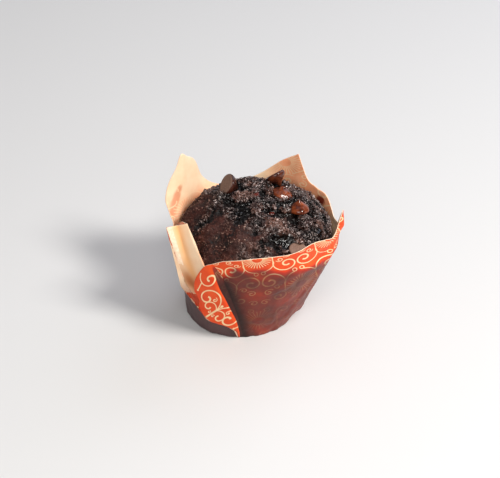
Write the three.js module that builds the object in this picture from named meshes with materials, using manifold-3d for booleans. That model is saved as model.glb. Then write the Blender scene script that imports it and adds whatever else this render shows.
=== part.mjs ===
// A chocolate muffin in its pleated tulip wrap.
//
// Millimetres, +Z up. The origin is the centre of the wrap's flat base, on the table.
// The muffin rose unevenly, so everything above the base leans towards +X: heights are
// taken about an axis that moves from x = 0 at the base to x = LEAN at the widest level.
// Places on the paper are written as [azimuth in degrees, height, stand-off], where the
// stand-off is the distance of the paper's middle from the muffin's baked side.

import * as THREE from 'three';
import { mergeVertices } from 'three/addons/utils/BufferGeometryUtils.js';
import Module from 'manifold-3d';

const wasm = await Module();
wasm.setup();

// ---------------------------------------------------------------- driving dimensions

const BASE_DIAMETER = 50;       // a standard 50 mm muffin base, over the paper
const WIDEST_DIAMETER = 69;     // the baked side where the dome begins
const WIDEST_HEIGHT = 38;       // height of that widest level
const DOME_HEIGHT = 22;         // from the widest level to the top of the dome
const LEAN = 6.8;               // sideways shift of the widest level
const PAPER = 0.6;              // thickness that the folded paper is built with
const CLEARANCE = 0.3;          // between touching pieces
const LUMP_DEPTH = 0.9;         // swell of the dome's lumps
const CHIP_DIAMETER = 8.6;      // a chocolate chip over its flat face
const CHIP_HEIGHT = 6.4;        // flat face to tip
const MERGE_DISTANCE = 0.0001;  // points closer than this are one point
const FLAT_ENOUGH = 0.01;       // facets that differ by less than this are joined

const PAPER_OFF = CLEARANCE + PAPER / 2;               // paper's middle, where it hugs the muffin
const CAKE_BASE_RADIUS = BASE_DIAMETER / 2 - CLEARANCE - PAPER;
const CAKE_WIDEST_RADIUS = WIDEST_DIAMETER / 2;
const CAKE_FOOT = PAPER + CLEARANCE;                   // the muffin's underside

// ---------------------------------------------------------------- shared shape

const rad = THREE.MathUtils.degToRad;
const { lerp, clamp, smoothstep } = THREE.MathUtils;

const axisX = (z) => LEAN * clamp(z / WIDEST_HEIGHT, 0, 1);
const sideRadius = (z) => lerp(CAKE_BASE_RADIUS, CAKE_WIDEST_RADIUS, clamp(z / WIDEST_HEIGHT, 0, 1));

function place(azimuth, height, standOff) {
  const r = sideRadius(height) + standOff;
  return new THREE.Vector3(axisX(height) + r * Math.cos(rad(azimuth)), r * Math.sin(rad(azimuth)), height);
}

// ---------------------------------------------------------------- meshes and solids

function meshGeometry(points, faces) {
  const geometry = new THREE.BufferGeometry();
  geometry.setAttribute('position', new THREE.Float32BufferAttribute(points.flatMap((p) => p.toArray()), 3));
  geometry.setIndex(faces);
  return geometry;
}

function toSolid(geometry) {
  const bare = geometry.clone();
  bare.deleteAttribute('normal');
  bare.deleteAttribute('uv');
  const merged = mergeVertices(bare, MERGE_DISTANCE);
  return new wasm.Manifold(new wasm.Mesh({
    numProp: 3,
    vertProperties: new Float32Array(merged.attributes.position.array),
    triVerts: new Uint32Array(merged.index.array),
  }));
}

function toGeometry(solid) {
  const { numProp, vertProperties, triVerts } = solid.getMesh();
  const points = [];
  for (let i = 0; i < vertProperties.length; i += numProp) {
    points.push(new THREE.Vector3(...vertProperties.slice(i, i + 3)));
  }
  const geometry = meshGeometry(points, Array.from(triVerts));
  geometry.computeVertexNormals();
  return geometry;
}

// A closed body from rings of points: fans close the first ring and the last.
function ringBody(rings) {
  const n = rings[0].length;
  const centre = (ring) => ring.reduce((sum, p) => sum.add(p), new THREE.Vector3()).divideScalar(n);
  const points = [...rings.flat(), centre(rings[0]), centre(rings[rings.length - 1])];
  const [bottom, top] = [rings.length * n, rings.length * n + 1];
  const faces = [];
  for (let j = 0; j < n; j++) {
    const k = (j + 1) % n;
    for (let i = 0; i < rings.length - 1; i++) {
      const [a, b, c, d] = [i * n + j, i * n + k, (i + 1) * n + k, (i + 1) * n + j];
      faces.push(a, b, c, a, c, d);
    }
    const last = (rings.length - 1) * n;
    faces.push(bottom, k, j, top, last + j, last + k);
  }
  return meshGeometry(points, faces);
}

// A sheet of even thickness about a grid of points, grid[column][row], as a closed body.
// Columns run counter-clockwise round the muffin and rows go up, so normals point outwards.
function sheetBody(grid, thickness) {
  const [columns, rows] = [grid.length, grid[0].length];
  const near = (i, j) => grid[clamp(i, 0, columns - 1)][clamp(j, 0, rows - 1)];
  const layers = [[], []];
  for (let i = 0; i < columns; i++) {
    for (let j = 0; j < rows; j++) {
      const along = near(i + 1, j).clone().sub(near(i - 1, j));
      const up = near(i, j + 1).clone().sub(near(i, j - 1));
      const normal = along.cross(up).normalize().multiplyScalar(thickness / 2);
      layers[0].push(near(i, j).clone().add(normal));
      layers[1].push(near(i, j).clone().sub(normal));
    }
  }
  const inner = columns * rows;
  const at = (i, j) => i * rows + j;
  const faces = [];
  const quad = (a, b, c, d) => faces.push(a, b, c, a, c, d);
  for (let i = 0; i < columns - 1; i++) {
    for (let j = 0; j < rows - 1; j++) {
      const [a, b, c, d] = [at(i, j), at(i + 1, j), at(i + 1, j + 1), at(i, j + 1)];
      quad(a, b, c, d);
      quad(inner + d, inner + c, inner + b, inner + a);
    }
    const [low, lowNext, high, highNext] = [at(i, 0), at(i + 1, 0), at(i, rows - 1), at(i + 1, rows - 1)];
    quad(lowNext, low, inner + low, inner + lowNext);
    quad(high, highNext, inner + highNext, inner + high);
  }
  for (let j = 0; j < rows - 1; j++) {
    const [start, startUp, end, endUp] = [at(0, j), at(0, j + 1), at(columns - 1, j), at(columns - 1, j + 1)];
    quad(start, startUp, inner + startUp, inner + start);
    quad(endUp, end, inner + end, inner + endUp);
  }
  return meshGeometry([...layers[0], ...layers[1]], faces);
}

// ---------------------------------------------------------------- muffin

const AROUND = 46;       // points in each ring of the muffin
const SIDE_RINGS = 5;
const DOME_RINGS = 12;
const TOP_GAP = 0.6;     // of a ring's step, from the last ring to the fan that closes the top
const SWELL_FROM = 0.25; // climb up the dome, in radians, where its lumps begin
const SWELL_FULL = 0.7;  // and where they are full

// Broad lumps of the risen dome, as crossing waves over its plan:
// share, waves along x and along y in radians per mm, phase.
const LUMP_WAVES = [
  [0.5, 0.41, -0.15, 1.1],
  [0.5, 0.21, 0.39, 1.1],
  [0.6, -0.42, 0.2, 2.3],
  [0.5, 0.23, 0.5, Math.PI / 2],
];

function lump(x, y) {
  return LUMP_WAVES.reduce((sum, [share, alongX, alongY, phase]) => (
    sum + share * Math.sin(alongX * x + alongY * y + phase)), 0);
}

function muffinRing(height, radius, swell) {
  const ring = [];
  for (let j = 0; j < AROUND; j++) {
    const azimuth = rad((360 * j) / AROUND);
    const [x, y] = [radius * Math.cos(azimuth), radius * Math.sin(azimuth)];
    const grown = 1 + (swell * lump(x, y)) / CAKE_WIDEST_RADIUS;
    const z = WIDEST_HEIGHT + (height - WIDEST_HEIGHT) * (height > WIDEST_HEIGHT ? grown : 1);
    ring.push(new THREE.Vector3(axisX(height) + x * grown, y * grown, z));
  }
  return ring;
}

function muffinBody() {
  const rings = [];
  for (let i = 0; i <= SIDE_RINGS; i++) {
    const z = lerp(CAKE_FOOT, WIDEST_HEIGHT, i / SIDE_RINGS);
    rings.push(muffinRing(z, sideRadius(z), 0));
  }
  for (let i = 1; i <= DOME_RINGS; i++) {
    const climb = ((Math.PI / 2) * i) / (DOME_RINGS + TOP_GAP);
    const swell = LUMP_DEPTH * smoothstep(climb, SWELL_FROM, SWELL_FULL);
    const z = WIDEST_HEIGHT + DOME_HEIGHT * Math.sin(climb);
    rings.push(muffinRing(z, CAKE_WIDEST_RADIUS * Math.cos(climb), swell));
  }
  return toSolid(ringBody(rings));
}

// ---------------------------------------------------------------- chocolate chips

// Middle of each chip, the way its tip points, and its size against a whole chip.
const CHIPS = [
  { at: [-4.2, 8.2, 59.4], tip: [0.8, 0.28, -0.53], size: 1.12 },
  { at: [16.4, 15.2, 58.4], tip: [0.47, -0.49, -0.73], size: 1.05 },
  { at: [19.2, 4.6, 59.2], tip: [0.3, 0.1, 0.95], size: 1 },
  { at: [25.7, -5.5, 57.5], tip: [0.03, 0.12, 0.99], size: 1 },
  { at: [24.7, -24.6, 46], tip: [-0.12, 0.3, -0.95], size: 0.95 },
  { at: [12.9, 28.4, 46.8], tip: [0.17, 0.8, 0.57], size: 0.85 },
  { at: [-0.1, 27.6, 47.6], tip: [-0.18, 0.72, 0.67], size: 0.85 },
  { at: [-11.8, 23.4, 46], tip: [-0.5, 0.64, 0.58], size: 0.85 },
];
const CHIP_SIDES = 12;
const CHIP_MIDDLE = 0.4; // of its height, above the flat face

// Half outline of a chip from the middle of its flat face to its tip, grown by a margin.
function chipOutline(size, margin) {
  const r = (CHIP_DIAMETER / 2) * size;
  const h = CHIP_HEIGHT * size;
  const shares = [[0, 0], [0.86, 0], [1, 0.1], [0.97, 0.24], [0.78, 0.45], [0.47, 0.66], [0.2, 0.85], [0, 1]];
  return shares.map(([across, up], i) => {
    const outwards = i === 0 || i === shares.length - 1 ? 0 : margin;
    const upwards = up === 0 ? -margin : margin * up;
    return new THREE.Vector2(r * across + outwards, h * (up - CHIP_MIDDLE) + upwards);
  });
}

function chipBody({ at, tip, size }, margin) {
  const geometry = new THREE.LatheGeometry(chipOutline(size, margin), CHIP_SIDES);
  const up = new THREE.Vector3(0, 1, 0);
  geometry.applyQuaternion(new THREE.Quaternion().setFromUnitVectors(up, new THREE.Vector3(...tip).normalize()));
  geometry.translate(...at);
  return toSolid(geometry);
}

// ---------------------------------------------------------------- tulip wrap

const SIDE_ROWS = 4;      // rows of the wall up to the widest level
const RIM_ROWS = 5;       // rows from there to the cut edge
const FLOOR_SIDES = 56;
const FREE_FROM = 42;     // the paper leaves the muffin at this height, at the latest
const FREE_BELOW_RIM = 6; // and at least this far under its cut edge
const FLARE = 1.3;        // how late the free part bends away
const FLANK_OFF = 1.8;    // the right flank stands off this much more, about this azimuth
const FLANK_AT = 2;
const FLANK_FULL = 15;    // within these degrees
const FLANK_END = 50;     // and up to these
const FLANK_FROM = 9;     // fully from this height up

// Cut edge of the wrap, counter-clockwise from the front pleat's valley to its root fold:
// azimuth of the edge, azimuth at the base below it, height, stand-off.
const RIM = [
  [-119.5, -87, 45.8, 3.4],
  [-110, -82, 49.4, 4.2],
  [-97, -74, 52, 5],
  [-85, -68, 53.2, 5],
  [-65, -56, 53.2, 5],
  [-51, -46, 55.4, 5.4],
  [-42, -39, 54, 5.4],
  [-34, -32, 53.4, 5.3],
  [-24.5, -24.5, 63, 5.2],
  [-18, -18, 52.3, 4.1],
  [-11, -11, 48, 1.3],
  [0, 0, 44, 0.9],
  [9, 9, 41.8, 0.9],
  [18, 18, 41, 0.9],
  [30, 30, 47.8, 1.3],
  [40, 40, 49, 1.3],
  [50, 50, 52.6, 1.3],
  [54, 54, 58, 1.3],
  [57, 57, 62.7, 1.2],
  [70, 70, 57.3, 1.2],
  [85, 85, 49.8, 1],
  [100, 100, 45.5, 1.2],
  [116, 116, 44.5, 2.8],
  [127, 127, 49.2, 4],
  [131, 131, 53.2, 4],
  [135, 135, 60.3, 4],
  [143, 143, 65.6, 4.5],
  [149, 149, 67.8, 4.8],
  [152.5, 152, 63, 5.4],
  [158, 157, 57.8, 6.9],
  [162, 161, 53.5, 7.6],
  [165, 163, 50, 7.4],
  [168.5, 165, 47, 5.4],
  [174, 172, 43.4, 2.8],
  [182, 184, 42.4, 2.1],
  [196, 212, 50, 1.6],
  [206, 238, 56, 1.4],
  [215.5, 266.5, 58.4, 1.6],
];
const WALL_STEP = 6.5;    // widest step between wall columns, degrees of azimuth

// The front-left pleat. Its paper goes from the root fold out to the outer fold and comes
// back over itself to a ridge and a valley. Each line runs up the paper from the base.
const CORNER_CREASE = [[-91.6, 0, 0.6], [-97, 6, 1.2], [-108, 12, 1.5], [-122, 20, 1.7], [-137, 33, 2.4],
  [-150.2, 56.5, 4.8]];
const CORNER_TIP = [[-91.8, 0, 0.6], [-97, 5.6, 1.2], [-108, 9.5, 1.6], [-124, 14.5, 2], [-141, 26, 4.4],
  [-149.6, 57.5, 10]];
const CORNER_SIDE = [[-92, 0, 0.7], [-97, 5.2, 1.3], [-108, 8.5, 1.7], [-125, 11.5, 2.2], [-137, 17.5, 3.4],
  [-145, 26.3, 6.4]];
const OUTER_FOLD = [[-92, 0, 0.8], [-95.7, 5.3, 1.2], [-103.4, 7.7, 1.8], [-113.6, 8.9, 2.2],
  [-123.6, 9.4, 2.6], [-131, 14.2, 2.7], [-139.7, 16.3, 2.8]];
const BAND_LOW = [[-91.3, 0, 0.8], [-95.8, 6.5, 1.6], [-104, 11, 2.2], [-115, 14.5, 2.6], [-126, 18.5, 2.8],
  [-136.5, 23.2, 3]];
const BAND_MIDDLE = [[-91, 0, 0.8], [-96, 8, 1.8], [-104, 14.5, 2.5], [-115, 21.5, 3], [-125, 27.5, 3.4],
  [-133.6, 33, 3.8]];
const BAND_CORNER = [[-90.7, 0, 0.8], [-96.5, 10, 1.8], [-104, 18, 2.5], [-112, 27, 3.2], [-119, 35, 3.6],
  [-125.6, 43, 4]];
const RIDGE = [[-90.4, 0, 0.8], [-98.2, 13, 1.8], [-103.8, 19.7, 2.2], [-109.5, 27.2, 2.6], [-114, 33.2, 3],
  [-119.6, 45.7, 3.5]];
const PLEAT_ROWS = 11;
const PLEAT_SPLITS = 2;   // columns between two of the pleat's lines

function wallColumn([azimuth, baseAzimuth, rimHeight, rimOff]) {
  const free = Math.min(FREE_FROM, rimHeight - FREE_BELOW_RIM);
  const heights = [];
  for (let j = 0; j < SIDE_ROWS; j++) heights.push(lerp(PAPER / 2, WIDEST_HEIGHT, j / SIDE_ROWS));
  for (let j = 0; j <= RIM_ROWS; j++) heights.push(lerp(WIDEST_HEIGHT, rimHeight, j / RIM_ROWS));
  return heights.map((z) => {
    const flare = clamp((z - free) / (rimHeight - free), 0, 1) ** FLARE;
    const turn = lerp(baseAzimuth, azimuth, z / rimHeight);
    const around = 1 - smoothstep(Math.abs(turn - FLANK_AT), FLANK_FULL, FLANK_END);
    const flank = FLANK_OFF * around * smoothstep(z, 0, FLANK_FROM);
    return place(turn, z, lerp(PAPER_OFF, rimOff, flare) + flank);
  });
}

function wallBody() {
  const grid = [];
  for (let i = 0; i < RIM.length - 1; i++) {
    const turn = Math.max(RIM[i + 1][0] - RIM[i][0], RIM[i + 1][1] - RIM[i][1]);
    const steps = Math.ceil(turn / WALL_STEP);
    for (let k = 0; k < steps; k++) {
      const row = RIM[i].map((value, n) => lerp(value, RIM[i + 1][n], k / steps));
      grid.push(wallColumn(row));
    }
  }
  grid.push(wallColumn(RIM[RIM.length - 1]));
  return toSolid(sheetBody(grid, PAPER));
}

function pleatLine(stations) {
  return stations.map((station) => {
    const p = place(...station);
    p.z = Math.max(p.z, PAPER / 2);
    return p;
  });
}

function pleatBody(lines) {
  const columns = lines.map((line) => new THREE.CatmullRomCurve3(line).getSpacedPoints(PLEAT_ROWS));
  const grid = [];
  for (let i = 0; i < columns.length - 1; i++) {
    for (let k = 0; k < PLEAT_SPLITS; k++) {
      grid.push(columns[i].map((p, j) => p.clone().lerp(columns[i + 1][j], k / PLEAT_SPLITS)));
    }
  }
  grid.push(columns[columns.length - 1]);
  return toSolid(sheetBody(grid, PAPER));
}

// Layers that meet at the foot of the pleat close off slivers of air: only the outer skin is kept.
function outerSkin(solid) {
  return solid.decompose().reduce((most, part) => (part.volume() > most.volume() ? part : most));
}

function floorBody() {
  const disc = new THREE.CylinderGeometry(BASE_DIAMETER / 2, BASE_DIAMETER / 2 - PAPER, PAPER, FLOOR_SIDES);
  disc.rotateX(Math.PI / 2);
  disc.translate(0, 0, PAPER / 2);
  return toSolid(disc);
}

// ---------------------------------------------------------------- assembly

const muffinCrumb = new THREE.MeshStandardMaterial({ color: 0x2c1814, roughness: 0.9, metalness: 0 });
const chocolate = new THREE.MeshStandardMaterial({ color: 0x5a3420, roughness: 0.35, metalness: 0 });
const printedPaper = new THREE.MeshStandardMaterial({ color: 0xe0643a, roughness: 0.7, metalness: 0 });

function named(name, geometry, material) {
  const mesh = new THREE.Mesh(geometry, material);
  mesh.name = name;
  return mesh;
}

const muffin = new THREE.Group();

let cake = muffinBody();
for (const chip of CHIPS) cake = cake.subtract(chipBody(chip, CLEARANCE));
muffin.add(named('muffin_cake', toGeometry(cake), muffinCrumb));

CHIPS.forEach((chip, i) => {
  muffin.add(named(`chip_${i + 1}`, toGeometry(chipBody(chip, 0)), chocolate));
});

const valley = wallColumn(RIM[0]);
const rootFold = wallColumn(RIM[RIM.length - 1]);
const pleatBack = [rootFold, ...[CORNER_CREASE, CORNER_TIP, CORNER_SIDE, OUTER_FOLD].map(pleatLine)];
const pleatFront = [...[OUTER_FOLD, BAND_LOW, BAND_MIDDLE, BAND_CORNER, RIDGE].map(pleatLine), valley];
const folded = floorBody().add(wallBody()).add(pleatBody(pleatBack)).add(pleatBody(pleatFront));
const wrap = outerSkin(outerSkin(folded).simplify(FLAT_ENOUGH));
muffin.add(named('paper_wrap', toGeometry(wrap), printedPaper));

export default muffin;
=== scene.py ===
# %% [markdown]
# # A chocolate muffin in its tulip wrap
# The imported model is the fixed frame: it says where the muffin, its chips and its paper
# are. Everything made here is a finer piece that stands in the same place. Blender works
# in metres, while a baker measures a muffin in millimetres, so shapes are worked out in
# millimetres and scaled once, when a mesh is made.

# %% Load the frame
import math

import bmesh
import bpy
import numpy as np
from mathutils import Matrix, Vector, noise


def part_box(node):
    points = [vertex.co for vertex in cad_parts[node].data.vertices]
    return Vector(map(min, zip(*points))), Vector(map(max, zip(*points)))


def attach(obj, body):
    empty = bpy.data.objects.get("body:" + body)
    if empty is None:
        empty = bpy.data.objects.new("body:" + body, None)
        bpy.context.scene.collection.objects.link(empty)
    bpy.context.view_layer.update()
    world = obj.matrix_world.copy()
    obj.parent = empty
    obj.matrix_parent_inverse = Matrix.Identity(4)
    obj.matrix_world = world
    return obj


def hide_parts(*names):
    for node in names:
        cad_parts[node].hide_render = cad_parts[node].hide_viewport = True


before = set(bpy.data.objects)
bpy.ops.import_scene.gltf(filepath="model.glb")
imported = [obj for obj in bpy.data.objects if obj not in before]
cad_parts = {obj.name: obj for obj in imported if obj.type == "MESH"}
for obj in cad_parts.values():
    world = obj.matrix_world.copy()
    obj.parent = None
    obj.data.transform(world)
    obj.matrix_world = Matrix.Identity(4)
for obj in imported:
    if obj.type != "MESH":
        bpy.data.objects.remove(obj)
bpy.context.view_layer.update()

MM = 0.001
cake_low, cake_high = (np.array(corner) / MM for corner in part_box("muffin_cake"))
wrap_low, wrap_high = (np.array(corner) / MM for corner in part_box("paper_wrap"))
print("muffin box, mm:", cake_low.round(1), cake_high.round(1))
print("wrap box, mm:", wrap_low.round(1), wrap_high.round(1))

# %% [markdown]
# ## Camera
# The muffin is seen as across a table: from its front, a third of a right angle up, and
# with a longish lens, so that the petals behind stay nearly as large as those in front.
# A camera looks along its own -Z, and to_track_quat turns it to face a point.

# %% Camera
CAMERA_AT = Vector((4.28, -580.33, 427.81)) * MM
CAMERA_AIM = Vector((4.28, 0.0, 36.38)) * MM
LENS = 112.65            # mm, on the 36 mm sensor that Blender starts with

camera = bpy.data.objects.new("camera", bpy.data.cameras.new("camera"))
bpy.context.scene.collection.objects.link(camera)
camera.location = CAMERA_AT
camera.rotation_euler = (CAMERA_AIM - CAMERA_AT).to_track_quat("-Z", "Y").to_euler()
camera.data.lens = LENS
camera.data.clip_start = 0.01
bpy.context.scene.camera = camera
print("camera is", round((CAMERA_AT - CAMERA_AIM).length, 3), "m from what it looks at")

# %% [markdown]
# ## Colours and nodes
# Colours are written as the hex values that a colour picker shows. Those are sRGB, and a
# shader works with linear light, so one function turns them. A second function adds a
# shader node with its inputs: a number is set on the socket, and a node is linked to it.

# %% Colours and nodes
def srgb(code):
    """A hex colour as linear red, green, blue and alpha."""
    parts = [int(code[i:i + 2], 16) / 255 for i in (1, 3, 5)]
    return (*[c / 12.92 if c <= 0.04045 else ((c + 0.055) / 1.055) ** 2.4 for c in parts], 1.0)


def add(tree, kind, inputs=(), **settings):
    """Adds a node. Inputs are a list in order, or a dict by name, of values, nodes or sockets."""
    node = tree.nodes.new("ShaderNode" + kind)
    stops = settings.pop("stops", ())
    for name, value in settings.items():
        setattr(node, name, value)
    sockets = [socket for socket in node.inputs if socket.enabled]
    named = {socket.name: socket for socket in reversed(sockets)}
    for key, value in inputs.items() if isinstance(inputs, dict) else enumerate(inputs):
        socket = named[key] if isinstance(key, str) else sockets[key]
        if isinstance(value, bpy.types.Node):
            value = next(output for output in value.outputs if output.enabled)
        if isinstance(value, bpy.types.NodeSocket):
            tree.links.new(value, socket)
        elif value is not None:
            socket.default_value = value
    for i, (position, colour) in enumerate(stops):
        stop = node.color_ramp.elements[i] if i < 2 else node.color_ramp.elements.new(position)
        stop.position, stop.color = position, srgb(colour)
    return node


def material(name):
    """An empty material and its node tree."""
    made = bpy.data.materials.new(name)
    made.use_nodes = True
    made.node_tree.nodes.clear()
    return made, made.node_tree


# %% [markdown]
# ## Floor and light
# A plain pale floor under soft studio light. One softbox stands at the front right, about
# as high as it is far, so a shadow falls back and to the left. A second at the front left
# lights the petals' inner sides, and its shadow hides behind the muffin. Two wide dim ones,
# behind and overhead, give the moist crumb something to mirror, and a grey sky fills the rest.

# %% Floor
floor_paint, tree = material("pale_tabletop_paint")
speckle = add(tree, "TexNoise", {"Scale": 3.0, "Detail": 1.0})
tone = add(tree, "ValToRGB", [speckle], stops=[(0.3, "#DAD9D9"), (0.7, "#E0DFDF")])
paint = add(tree, "BsdfPrincipled", {"Base Color": tone, "Roughness": 0.7})
add(tree, "OutputMaterial", {"Surface": paint})

FLOOR_HALF = 2.5         # m
FLOOR_BELOW = 0.00005    # m under the paper, so that the two never share a plane
floor_mesh = bpy.data.meshes.new("floor")
corners = [(x * FLOOR_HALF, y * FLOOR_HALF, -FLOOR_BELOW) for x, y in ((-1, -1), (1, -1), (1, 1), (-1, 1))]
floor_mesh.from_pydata(corners, [], [(0, 1, 2, 3)])
floor_mesh.materials.append(floor_paint)
floor = bpy.data.objects.new("floor", floor_mesh)
bpy.context.scene.collection.objects.link(floor)


# %% Lights
def softbox(name, at, size, watts, tint):
    """A square area light at a place in metres, turned to face the muffin."""
    lamp = bpy.data.lights.new(name, "AREA")
    lamp.energy = watts
    lamp.size = size
    lamp.color = srgb(tint)[:3]
    light = bpy.data.objects.new(name, lamp)
    light.location = at
    light.rotation_euler = (CAMERA_AIM - Vector(at)).to_track_quat("-Z", "Y").to_euler()
    bpy.context.scene.collection.objects.link(light)


softbox("key_front_right", (0.62, -0.4, 0.78), 0.3, 10.7, "#FFFDF8")
softbox("front_left", (-0.2, -1.3, 1.2), 1.0, 14.0, "#FFFDF8")
softbox("wide_back_right", (0.7, 0.75, 0.6), 0.9, 4.6, "#EAF0FF")
softbox("overhead", (-0.1, 0.25, 1.1), 0.8, 1.2, "#F4F7FF")
print("softboxes:", [lamp.name for lamp in bpy.data.lights])

# %% Grey sky
SKY_STRENGTH = 0.19

world = bpy.data.worlds.new("studio")
world.use_nodes = True
sky = world.node_tree.nodes["Background"]
sky.inputs["Color"].default_value = srgb("#EEEEF2")
sky.inputs["Strength"].default_value = SKY_STRENGTH
bpy.context.scene.world = world
bpy.context.scene.view_settings.view_transform = "Standard"

# %% [markdown]
# ## The shape that everything shares
# The muffin was baked in a cup that widens upwards and rose a little to one side. So a
# place on it is an azimuth, a height and a stand-off from the baked side, about an axis
# that leans. The same few sizes shape the cake and its paper.

# %% Shared shape
LEAN = 6.8               # mm that the axis has moved to +X at the widest place
WIDEST_HEIGHT = 38.0     # mm up
WIDEST_RADIUS = 34.5
BASE_RADIUS = 24.1
DOME_HEIGHT = 22.0       # mm, from the widest place to the top
PAPER_OFF = 0.6          # mm from the cake to the middle of the paper, where it hugs the muffin


def axis_x(z):
    """How far the axis has leant over at a height."""
    return LEAN * np.clip(z / WIDEST_HEIGHT, 0, 1)


def side_radius(z):
    """Radius of the baked side at a height."""
    return BASE_RADIUS + (WIDEST_RADIUS - BASE_RADIUS) * np.clip(z / WIDEST_HEIGHT, 0, 1)


def place(azimuth, height, off):
    """Points in mm, from degrees round the leaning axis, height and stand-off."""
    turn, r = np.radians(azimuth), side_radius(height) + off
    return np.stack([axis_x(height) + r * np.cos(turn), r * np.sin(turn), height + 0 * r], -1)


print("dome's top, mm:", WIDEST_HEIGHT + DOME_HEIGHT, "and in the frame:", cake_high[2].round(1))

# %% [markdown]
# ## Curves, distances and noise
# A few small tools draw all the shapes. A smooth step blends one thing into another
# without a crease, a cubic curve runs through a few chosen places, and smooth noise breaks
# up what would look too regular. Noise is read at each point's own place with a number
# as its seed, so every run gives the same muffin.

# %% Curves, distances and noise
SEED_APART = 17.3        # how far apart in the noise two seeds are read


def blend_in(value, low, high):
    """0 below low, 1 above high and a smooth step between."""
    t = np.clip((value - low) / (high - low), 0, 1)
    return t * t * (3 - 2 * t)


def hermite(knots, values, at):
    """A smooth curve through values at the knots, read off at other places."""
    slopes = np.gradient(values, knots, axis=0)
    i = np.clip(np.searchsorted(knots, at, side="right") - 1, 0, len(knots) - 2)
    span = (knots[i + 1] - knots[i])[:, None]
    t = (at - knots[i])[:, None] / span
    start, end = values[i], values[i + 1]
    return (start * (1 + 2 * t) * (1 - t) ** 2 + end * t * t * (3 - 2 * t)
            + span * (slopes[i] * t * (1 - t) ** 2 + slopes[i + 1] * t * t * (t - 1)))


def run_along(line):
    """How far along a line each of its points lies."""
    steps = np.linalg.norm(np.diff(line, axis=0), axis=1)
    return np.concatenate([[0], np.cumsum(steps)])


def away(points, middle):
    """How far each point is from a place."""
    return np.linalg.norm(points - np.array(middle), axis=-1)


def away_from_line(points, start, end):
    """How far each point is from a straight line between two places."""
    way = np.subtract(end, start)
    share = np.clip((points - start) @ way / (way @ way), 0, 1)
    return np.linalg.norm(points - start - share[..., None] * way, axis=-1)


def grain(points, size, seed, octaves=1):
    """Smooth noise between about -1 and 1, one value a point, with lumps of that size in mm."""
    total, share = np.zeros(len(points)), 1.0
    for _ in range(octaves):
        spots = points / size + seed * SEED_APART
        total += share * np.array([noise.noise(Vector(p)) for p in spots])
        size, share, seed = size / 2.1, share * 0.5, seed + 1
    return total


# %% [markdown]
# ## Meshes
# Each shape is worked out as a list of points with NumPy and becomes a mesh in one go.
# Each piece then rides on a body of the frame and says which finish it wears. A number
# that belongs to a place, such as how wet the crumb is, is kept on the points as an
# attribute, where a material can read it.

# %% Meshes
def piece(name, points, faces, materials, body="root"):
    """A mesh from points in mm that rides on a body of the frame."""
    mesh = bpy.data.meshes.new(name)
    mesh.from_pydata((np.asarray(points) * MM).tolist(), [], faces)
    for made in materials:
        mesh.materials.append(made)
    mesh.polygons.foreach_set("use_smooth", [True] * len(mesh.polygons))
    thing = bpy.data.objects.new(name, mesh)
    bpy.context.scene.collection.objects.link(thing)
    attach(thing, body)
    print(name, len(mesh.vertices), "points,", len(mesh.polygons), "faces")
    return thing


def paint_points(thing, name, values):
    """Keeps one number a point on the mesh, for the material to read."""
    layer = thing.data.attributes.new(name, "FLOAT", "POINT")
    layer.data.foreach_set("value", np.asarray(values, np.float32))


def grid_faces(columns, rows, closed=False):
    """Quads between neighbouring columns of points, facing outwards."""
    last = columns if closed else columns - 1
    pairs = [(i * rows, (i + 1) % columns * rows) for i in range(last)]
    return [(here + j, there + j, there + j + 1, here + j + 1)
            for here, there in pairs for j in range(rows - 1)]


# %% [markdown]
# ## The muffin
# The top of a chocolate muffin is a torn, moist crumb: pebbles of a millimetre or two with
# dark gaps between them, rough where the batter burst and smoother where it ran over the
# edge of the cup. A texture alone would leave a smooth outline, so the crumb is real
# relief. A square grid is pressed into a disc, which keeps its cells about even all over
# the dome, and each point then moves along its normal by a sum of lumps and pebbles.

# %% Dome
DOME_GRID = 241          # points across the dome, a third of a millimetre apart
LUMP_DEPTH = 0.9         # mm
LUMPS_GROW = (0.25, 0.7)      # radians above the dome's edge, between which the lumps set in


def lump(x, y):
    """The risen dome's broad lumps, as in the frame."""
    return (np.sin(0.31 * x + 0.12 * y + 1.1) * np.cos(0.1 * x - 0.27 * y)
            + 0.6 * np.sin(0.2 * y - 0.42 * x + 2.3) + 0.5 * np.cos(0.5 * y + 0.23 * x))


def disc_grid(n):
    """A square grid pressed into a unit disc: distance from the middle and angle of each point."""
    across, along = np.meshgrid(np.linspace(-1, 1, n), np.linspace(-1, 1, n), indexing="ij")
    wide = np.abs(across) > np.abs(along)
    r = np.where(wide, across, along)
    ratio = np.where(wide, along, across) / np.where(r == 0, 1, r)
    turn = np.where(wide, ratio * math.pi / 4, math.pi / 2 - ratio * math.pi / 4)
    return np.abs(r).ravel(), (turn + np.where(r < 0, math.pi, 0)).ravel()


def dome(out, turn):
    """Points of the dome and their normals, from the share of the way down and the angle."""
    climb = (1 - out) * math.pi / 2
    swell = LUMP_DEPTH * blend_in(climb, *LUMPS_GROW)
    x, y = WIDEST_RADIUS * np.cos(climb) * np.cos(turn), WIDEST_RADIUS * np.cos(climb) * np.sin(turn)
    grown = 1 + swell * lump(x, y) / WIDEST_RADIUS
    points = np.stack([x * grown, y * grown, DOME_HEIGHT * np.sin(climb) * grown], -1)
    normals = points / np.array([WIDEST_RADIUS ** 2, WIDEST_RADIUS ** 2, DOME_HEIGHT ** 2])
    normals /= np.linalg.norm(normals, axis=1)[:, None]
    return points + np.array([LEAN, 0, WIDEST_HEIGHT]), normals


# %% [markdown]
# Two things make the crumb. One is where the crust tore open: beyond a line across the
# top, and in a few tufts on the smooth side. The other is its height at each point: two
# sizes of pebble from a Voronoi pattern, pulled out of shape by noise, with crevices
# between heaps of them. Torn crumb stands nearly twice as proud as smooth crumb.

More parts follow.
